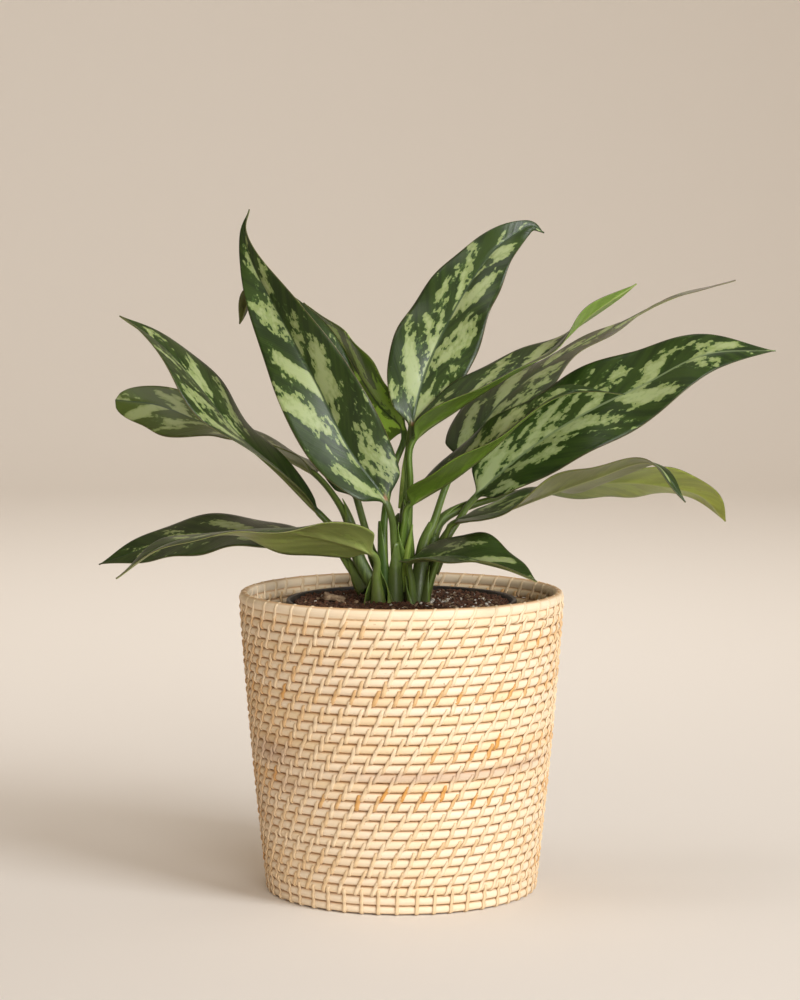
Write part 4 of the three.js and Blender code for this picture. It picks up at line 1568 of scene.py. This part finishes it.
    def sheath_wing(self) -> bpy.types.Object:
        """Makes the thin open sheath that clasps the lower stalk and ends in a free point.

        Returns:
            The sheath as a closed piece.
        """
        rows = int(FORM.stalk_rows * self.wing)
        points, right, facing, t, run = (values[:rows] for values in self.frames())
        share = np.linspace(0, 1, rows)
        widest, narrowest = FORM.wing_opening
        opening = np.radians(widest - (widest - narrowest) * share ** 1.6)
        radius = (self.stalk_radius(t) + FORM.wing_gap + self.clasp * (1 - share ** 1.5)
                  + FORM.wing_point * share ** 3)
        columns = np.linspace(-1, 1, FORM.wing_columns)
        angle = math.pi / 2 + opening[:, None] * columns
        sheet = laid_out(points, right, facing, radius[:, None] * np.cos(angle),
                         radius[:, None] * np.sin(angle))
        marks = self.marks(t, run, columns, 3 * columns, 1.0)
        wing = sheet_from_grid(self.name + "_wing", sheet * MM, marks)
        apply_modifier(wing, "SOLIDIFY", thickness=FORM.wing_thickness * MM, offset=0.0)
        return wing

    def build(self, skin: bpy.types.Material) -> None:
        """Builds and dresses the leaf.

        Args:
            skin: The material that all the leaves share.
        """
        parts = [self.body()]
        if self.wing:
            parts.append(self.sheath_wing())
        whole = joined(parts, self.name + "_grown")
        self.colour(whole.data)
        smooth(whole)
        finish_piece(whole, skin, Slot.LEAF, self.name)

    def colour(self, mesh: bpy.types.Mesh) -> None:
        """Stores this leaf's own colours on its mesh.

        Args:
            mesh: The whole leaf's mesh, which has the marks for the material.
        """
        count = len(mesh.vertices)
        marks = {"leaf_share": np.zeros(3 * count), "leaf_mm": np.zeros(3 * count)}
        for mark, values in marks.items():
            mesh.attributes[mark].data.foreach_get("vector", values)
        blade = np.clip(marks["leaf_share"][::3], 0, 1)
        run = marks["leaf_mm"][::3]
        out = marks["leaf_mm"][1::3]
        plain = np.zeros(count)
        if self.plain_to:
            plain = 1 - ease((blade - self.plain_to) / FORM.plain_fade + 1)
        tone = np.tile(linear(self.tone_hex), (count, 1))
        tone[:, 3] = along(self.tone, blade)
        paint(mesh, "lower_colour", along([linear(hex_code) for hex_code in self.lower], blade))
        paint(mesh, "rib_colour", np.tile(linear(self.rib_hex), (count, 1)))
        paint(mesh, "fleck_share", self.flecks - FORM.plain_drop * plain)
        paint(mesh, "lower_flecks", np.full(count, self.lower_flecks))
        paint(mesh, "fleck_tone", np.clip(tone[:, 3] * self.fleck_toned, 0, 1))
        brown = np.array([*linear(FORM.dried_hex)[:3], FORM.dried_strength])
        for dried_t, dried_across, radius in self.dried:
            gap = np.hypot(run - dried_t * run.max(), out - dried_across * self.half_width(np.array(dried_t)))
            tone += np.clip(1.3 - gap / radius, 0, 1)[:, None] * (brown - tone)
        paint(mesh, "tone_colour", tone)


YOUNG_GREEN = ("#66802B", "#728F30", "#78943A")
OLIVE = ("#6C6F38",)

LEAVES = (
    Leaf("leaf_upright_left", ((-4.5, -3.5, 187), (-5, -8, 237)),
         ((-10, -16, 267), (-36, -11, 304), (-57, -1, 346), (-79, 10, 386), (-100, 23, 424),
          (-108, 31, 449), (-105, 36, 466)),
         31, 0.3, 1.25, ((0.2, -0.9, 0.4), (-0.2, -1, 0.1), (-0.4, -0.9, 0.3)),
         (25, 25, 20, 15), (20, 30, 30, 50), (2.2, 3, 0.1), seed=7.7, flecks=0.035, clasp=2.6, wing=0.7,
         dried=((0.015, 0, 5),)),
    # its bright yellow-green tone, on the flecks above and below, is painted light shining through the leaf;
    # the flecks below are also really there, fainter
    Leaf("leaf_upright_behind", ((-10.5, -1, 188), (-12, -5, 235), (-11, 1, 262), (-5, 10, 290)),
         ((2, 18, 313), (-14, 38, 329), (-27, 58, 347), (-39, 77, 366), (-54, 93, 384), (-70, 107, 400)),
         27, 0.38, 1.3, ((-0.8, -0.6, 0.1), (-0.8, -0.5, 0.1), (-0.8, -0.5, 0)),
         (15, 15, 15, 15), (25, 25, 30, 30), (1.6, 3, 0.4), seed=11.3, flecks=0.06,
         lower=("#4E7226", "#567A2C", "#5E6A3C"), lower_flecks=0.85, tone_hex="#A2C83E",
         tone=(0.25, 0.2, 0.1), fleck_toned=3.4),
    Leaf("leaf_upright_right", ((4.5, 2.5, 226), (3, 4, 250), (3, 6, 278)),
         ((7, 8, 317), (15, 25, 349), (28, 41, 379), (44, 56, 408), (64, 71, 436), (89, 84, 454),
          (101, 88, 450)),
         30, 0.37, 1.05, ((0.2, -0.9, 0.4), (-0.2, -0.8, 0.5), (0.2, -0.9, 0.4)),
         (20, 15, 5, 10), (5, 10, 15, 10), (2.6, 3.5, 0.2), seed=23.1, flecks=0.015, dried=((0.01, 0, 4),)),
    Leaf("leaf_folded_high", ((3.5, -1.5, 228), (5, -4, 255), (6, -7, 280)),
         ((8, -7, 309), (37, -7, 331), (69, -3, 351), (102, 3, 370), (129, 9, 394), (161, 15, 415)),
         25, 0.32, 1.15, ((-0.6, -0.2, 0.8), (-0.5, -0.35, 0.8), (-0.2, 0.85, 0.4)),
         (25, 15, 10, 10), (50, 33, 15, 10), (1.4, 3, 0.6), seed=31.9, lower=YOUNG_GREEN),
    # its grey-mauve tone towards the tip, above and below, is a painted sheen
    Leaf("leaf_long_tail", ((10, -4, 187), (12.5, -4, 213), (15.5, 0, 236), (22.5, 6, 253), (31, 14, 277)),
         ((40, 22, 292), (67, 50, 329), (105, 72, 358), (148, 88, 381), (192, 102, 403), (240, 114, 416)),
         31, 0.3, 2.7, ((-0.3, -0.7, 0.7), (-0.4, -0.4, 0.9), (-0.2, -0.4, 0.9)),
         (5, -5, 0, 5), (5, 5, 10, 15), (1.8, 3.5, 0.3), shoulder=1, sheath=4, clasp=2, wing=0.62, seed=43.7,
         tone_hex="#7C7264", tone=(0, 0.1, 0.6, 0.95), lower=("#737C46", "#737C46", "#7C7264")),
    # its pale grey-green midrib is a painted sheen
    Leaf("leaf_broad_right", ((20, 3, 218), (29, 7, 237), (40, 10, 254)),
         ((51, 10, 269), (85, 5, 300), (123, -3, 326), (164, -11, 347), (205, -21, 368), (251, -30, 371)),
         32, 0.39, 1.15, ((-0.6, -0.7, 0.5), (-0.4, -0.8, 0.4), (-0.2, -0.9, 0.4)),
         (32, 10, 10, 10), (15, 10, 10, 15), (2, 3.2, 0.75), seed=57.2, flecks=-0.01, clasp=2, wing=0.6,
         rib_hex="#76865E"),
    Leaf("leaf_folded_middle", ((0, -1.5, 226), (0.5, -6, 240), (2, -9, 253)),
         ((6, -11, 266), (33, -24, 284), (59, -38, 305), (83, -52, 328), (112, -64, 346), (147, -73, 344)),
         26, 0.28, 1.9, ((-0.5, 0, 0.8), (-0.7, -0.3, 0.6), (-0.1, -0.8, 0.6)),
         (25, 25, 35, 40), (40, 40, 30, 20), (1.6, 3, 0.9), shoulder=1.3, clasp=2.5, wing=0.7,
         seed=66.4, lower=YOUNG_GREEN),
    Leaf("leaf_twisted_low", ((14, -6, 187), (20, -8, 213), (26, -9, 231), (31, -11, 246)),
         ((37, -15, 254), (63, -31, 262), (94, -47, 275), (128, -60, 288), (164, -74, 299), (186, -86, 274)),
         28, 0.32, 1.15,
         ((0.2, -0.5, 0.8), (-0.1, -0.3, 0.95), (-0.3, 0.4, 0.85), (-0.2, 0.35, 0.9), (0.7, -0.6, 0.5)),
         (0, 5, 5, 10), (25, 10, 5, 0), (1.4, 3, 0.5), seed=71.5, lower=OLIVE, flecks=-0.05,
         plain_to=0.12),
    Leaf("leaf_arching_low", ((19, 11, 230), (24, 16, 246), (36, 20, 257), (66, 26, 267)),
         ((98, 30, 273), (126, 37, 276), (157, 44, 277), (186, 52, 273), (212, 62, 265), (230, 74, 246)),
         26, 0.46, 0.9, ((-0.2, 0.45, 0.85), (0.1, 0.62, 0.78), (0.6, 0.6, 0.5)),
         (5, 5, 20, 20), (-5, -5, 0, 5), (1.4, 3, 0.2), seed=83.8, lower=("#707C40", "#8A9440", "#9AA03C")),
    Leaf("leaf_small_front", ((9, -10, 188), (7, -13, 212)),
         ((6, -17, 227), (21, -37, 232), (37, -58, 235), (53, -80, 234), (71, -101, 231), (87, -121, 226)),
         25, 0.37, 1.05, ((-0.4, -0.1, 0.9), (-0.2, -0.2, 1), (0.3, 0, 1)),
         (15, 20, 20, 20), (25, 20, 20, 25), (1.4, 2.5, 0.1), seed=97.6, wing=0.8, flecks=-0.05,
         tone_hex="#31421A", tone=(0.35,)),
    Leaf("leaf_low_left_rear", ((-24, 5, 205), (-36, 11, 221)),
         ((-49, 16, 234), (-83, 30, 239), (-117, 44, 242), (-151, 58, 236), (-184, 71, 226), (-216, 84, 214)),
         28, 0.4, 1.2, ((0.1, -0.1, 1), (-0.3, -0.4, 0.9), (-0.5, -0.7, 0.5)),
         (10, 5, 5, 10), (5, -5, 5, 15), (1.8, 3, 0.3), sheath=5, wing=0.7, seed=103.3, flecks=-0.08),
    Leaf("leaf_low_left_front", ((-15, -10, 187), (-17, -14, 214)),
         ((-20, -20, 233), (-53, -32, 246), (-88, -44, 252), (-124, -55, 250), (-158, -67, 243),
          (-188, -80, 223)),
         31, 0.34, 1.2, ((0.1, 0.75, 0.65), (-0.1, 0.1, 1), (-0.5, -0.2, 0.85)),
         (10, -5, 5, 15), (15, -10, 5, 15), (1.8, 3, 0.55), sheath=6.5, clasp=5, wing=0.8,
         lower=("#A2AE62", "#969E5C", "#7A7E4C"), seed=119.9, flecks=-0.08),
    Leaf("leaf_high_left", ((-38, 0, 240),),
         ((-56, 3, 258), (-83, 5, 286), (-112, 9, 312), (-137, 14, 342), (-163, 19, 371), (-194, 23, 393)),
         31, 0.58, 1.2,
         ((0.5, -0.5, 0.7), (0.7, 0, 0.7), (0.7, -0.17, 0.7), (0.6, -0.25, 0.75), (0.5, 0, 0.8)),
         (50, 0, 0, 20), (40, 20, 10, 25), (1.8, 3, 0.1), roundness=1, wing=0, seed=127.4,
         plain_to=0.4),
    Leaf("leaf_middle_left", ((-33, 9, 240), (-42, 16, 262)),
         ((-61, 30, 284), (-88, 55, 296), (-116, 75, 307), (-146, 86, 317), (-175, 101, 327),
          (-206, 112, 330)),
         28, 0.4, 0.45,
         ((-0.1, 0.6, 0.8), (0.1, 0.1, 0.95), (0.2, -0.2, 0.9), (-0.1, -0.5, 0.7), (-0.4, -0.8, 0.5)),
         (20, 10, -5, -5), (15, 5, -5, 0), (1.6, 3, 0.7), seed=139.2, flecks=0.05, tone_hex="#66752F",
         tone=(0.2, 0.3, 0.4)),
    Leaf("leaf_drooping_rear", ((-8, 11, 205), (-19, 12, 228), (-26, 17, 250)),
         ((-31, 24, 267), (-40, 30, 297), (-50, 38, 327), (-60, 47, 357), (-75, 56, 385), (-102, 66, 409),
          (-114, 70, 386)),
         25, 0.42, 0.9, ((-0.2, -1, 0.2), (0.4, -0.9, 0.4), (-0.5, 0.5, 0.7)),
         (10, 15, 20, 20), (10, 10, 15, 15), (1.6, 3, 0.4), seed=151.8, lower=("#6F6E42",)),
)


@dataclass(frozen=True)
class Shoot:
    """A cane or a rolled young leaf: a round body along a line of points, in mm."""

    name: str
    line: tuple[Point, ...]
    radii: tuple[float, ...]  # read from foot to top
    slot: Slot
    joint_mm: float = 0.0  # from one leaf scar to the next, or 0 for none
    roll: float = 0.0  # how deep the edge of a rolled leaf is stepped, as a share of the radius
    rolls: float = 0.8  # turns that this edge makes from foot to top
    end_share: float = 0.05  # of a cane, over which its top is rounded off
    end_roundness: float = 0.98
    scar_depth: float = 0.35
    scar_width: float = 0.25
    rows: int = 60
    sides: int = 28

    def build(self, skin: bpy.types.Material) -> None:
        """Builds and dresses the shoot.

        Args:
            skin: Its material.
        """
        shares = np.linspace(0, 1, self.rows + 1)
        line = catmull_rom(self.line)
        points = at_shares(line, shares)
        tangents = unit(np.gradient(points, axis=0))
        right = square_to(np.tile([1.0, 0, 0], (len(points), 1)), tangents)
        back = np.cross(tangents, right)
        radius = along(self.radii, shares)
        if self.joint_mm:
            end = np.clip((shares - 1 + self.end_share) / self.end_share, 0, 1)
            joint = shares * reach_along(line)[-1] / self.joint_mm
            scar = 1 - np.abs(np.sin(math.pi * joint)) ** self.scar_width
            radius = radius * np.sqrt(1 - self.end_roundness * end ** 2) - self.scar_depth * scar
        angle = np.arange(self.sides + 1) / self.sides * FULL_TURN
        turn = (angle[None] / FULL_TURN + self.rolls * shares[:, None]) % 1.0
        reach = radius[:, None] * (1 - self.roll * turn)
        rings = laid_out(points, right, back, reach * np.cos(angle), reach * np.sin(angle))
        rings[:, -1] = rings[:, 0]
        piece = closed_loft(self.name + "_grown", rings * MM, {})
        smooth(piece)
        finish_piece(piece, skin, self.slot, self.name)


CANES = (
    Shoot("cane_left", ((-15, -1, 120), (-17, -1, 196), (-28, 1, 225), (-40, 4, 250)), (6.5, 4), Slot.CANE,
          9),
    Shoot("cane_centre", ((-1, 7, 118), (-1, 7, 196), (-1.5, 8, 228), (-2, 9, 258)), (6, 3.6), Slot.CANE, 9),
    Shoot("cane_right", ((12, 3, 122), (12, 3, 196), (17, 5, 220), (23, 8, 244)), (5.5, 3.6), Slot.CANE, 9),
)

YOUNG_LEAVES = (
    Shoot("young_leaf_front", ((1, -3, 205), (3, -7, 226), (7.5, -11, 252)), (1.6, 2.6, 0.6), Slot.YOUNG,
          roll=0.18),
    Shoot("young_leaf_spike", ((-1, 3, 262), (0.5, 0, 280), (3.4, -3, 305)), (1.5, 1.5, 0.5), Slot.YOUNG,
          roll=0.18),
)


def build_plant() -> None:
    """Builds the leaves, the canes and the rolled young leaves."""
    blade = LeafBlade().material()
    for leaf in LEAVES:
        leaf.build(blade)
    cane_skin = PlainSkin("cane_skin", "#5F7334", "#394A20", 0.5).material()
    for cane in CANES:
        cane.build(cane_skin)
    young_skin = PlainSkin("young_leaf_skin", "#8C9E48", "#63802E", 0.4).material()
    for young in YOUNG_LEAVES:
        young.build(young_skin)


# ---------------------------------------------------------------- studio


@dataclass(frozen=True)
class Lamp:
    """A soft square lamp."""

    name: str
    place: Point
    aim: Point  # the place that it points at
    size: float  # its side, in metres
    power: float  # in watts
    hex_code: str
    spread: float  # how wide its light opens, in degrees

    def hang(self) -> None:
        """Hangs the lamp in the scene."""
        data = bpy.data.lights.new(self.name, "AREA")
        data.shape = "SQUARE"
        data.size = self.size
        data.energy = self.power
        data.spread = math.radians(self.spread)
        data.color = linear(self.hex_code)[:3]
        lamp = bpy.data.objects.new(self.name, data)
        lamp.location = self.place
        lamp.rotation_euler = (Vector(self.aim) - Vector(self.place)).to_track_quat("-Z", "Y").to_euler()
        bpy.context.scene.collection.objects.link(lamp)


LAMPS = (
    Lamp("key", (1.8, -1.6, 1.8), (0, 0, 0.2), 1.1, 16.8, "#FAFCFF", 100),
    Lamp("front", (0.7, -2.6, 0.62), (0, 0, 0.25), 1.1, 7.6, "#FFFFFF", 80),
    Lamp("top", (-0.5, -0.2, 2.6), (0, 0, 0.3), 1.0, 3.8, "#FFFFFF", 140),
    Lamp("wall", (0.0, 0.9, 2.3), (-0.15, 3.6, -0.2), 1.5, 25, "#FFFCF8", 140),
)


@dataclass(frozen=True)
class Studio:
    """A round seamless floor that rises far behind, soft light from the right and a camera at the front."""

    air_hex: str = "#FFE4C6"
    air_strength: float = 0.39
    flat_radius: float = 3.2
    wall_radius: float = 4.6
    wall_height: float = 3.4
    bend_steps: int = 12
    sides: int = 96
    lens: float = 105.66  # mm, on a sensor 36 mm tall
    sensor: float = 36.0
    sight: float = 50.0  # how far the camera sees, in metres
    camera_place: Point = (-0.001, -2.0, 0.4475)
    camera_pitch: float = 5.134  # degrees below level

    def floor(self) -> None:
        """Makes the seamless floor."""
        bend = self.wall_radius - self.flat_radius
        profile = [(0.5, 0.0), (self.flat_radius, 0.0)]
        for step in range(1, self.bend_steps + 1):
            angle = math.pi / 2 * step / self.bend_steps
            profile.append((self.flat_radius + bend * math.sin(angle), bend * (1 - math.cos(angle))))
        profile.append((self.wall_radius, self.wall_height))
        floor = raised_from_circle("floor", profile, self.sides)
        select_only([floor])
        bpy.ops.object.mode_set(mode="EDIT")
        bpy.ops.mesh.select_all(action="DESELECT")
        bpy.ops.object.mode_set(mode="OBJECT")
        for face in floor.data.polygons:
            face.select = face.center.z > self.wall_height - 0.01 and abs(face.normal.z) > 0.9
        bpy.ops.object.mode_set(mode="EDIT")
        bpy.ops.mesh.delete(type="FACE")
        bpy.ops.object.mode_set(mode="OBJECT")
        smooth(floor)
        floor.data.materials.append(StudioPaper().material())

    def air(self) -> None:
        """Fills the studio with even light."""
        world = bpy.data.worlds.new("studio_air")
        world.use_nodes = True
        tree = world.node_tree
        tree.nodes.clear()
        light = add_node(tree, "Background", {"Color": self.air_hex, "Strength": self.air_strength})
        add_node(tree, "OutputWorld", {"Surface": light})
        bpy.context.scene.world = world

    def camera(self) -> None:
        """Adds the camera at the photograph's angle."""
        data = bpy.data.cameras.new("camera")
        data.lens = self.lens
        data.sensor_width = self.sensor
        data.clip_end = self.sight
        camera = bpy.data.objects.new("camera", data)
        camera.location = self.camera_place
        camera.rotation_euler = (math.radians(90 - self.camera_pitch), 0, 0)
        bpy.context.scene.collection.objects.link(camera)
        bpy.context.scene.camera = camera

    def build(self) -> None:
        """Builds the whole studio."""
        self.camera()
        self.floor()
        self.air()
        for lamp in LAMPS:
            lamp.hang()
        bpy.context.scene.view_settings.view_transform = "Standard"


def main() -> None:
    """Builds the studio, the basket, the pot with its soil and the plant, and logs the faces of each piece.
    """
    logging.basicConfig(level=logging.INFO, format="%(name)s: %(message)s")
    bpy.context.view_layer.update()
    Studio().build()
    Basket().build()
    pot = NurseryPot()
    pot.build()
    Soil(pot).build()
    build_plant()
    bpy.context.view_layer.update()


if __name__ == "__main__":
    main()
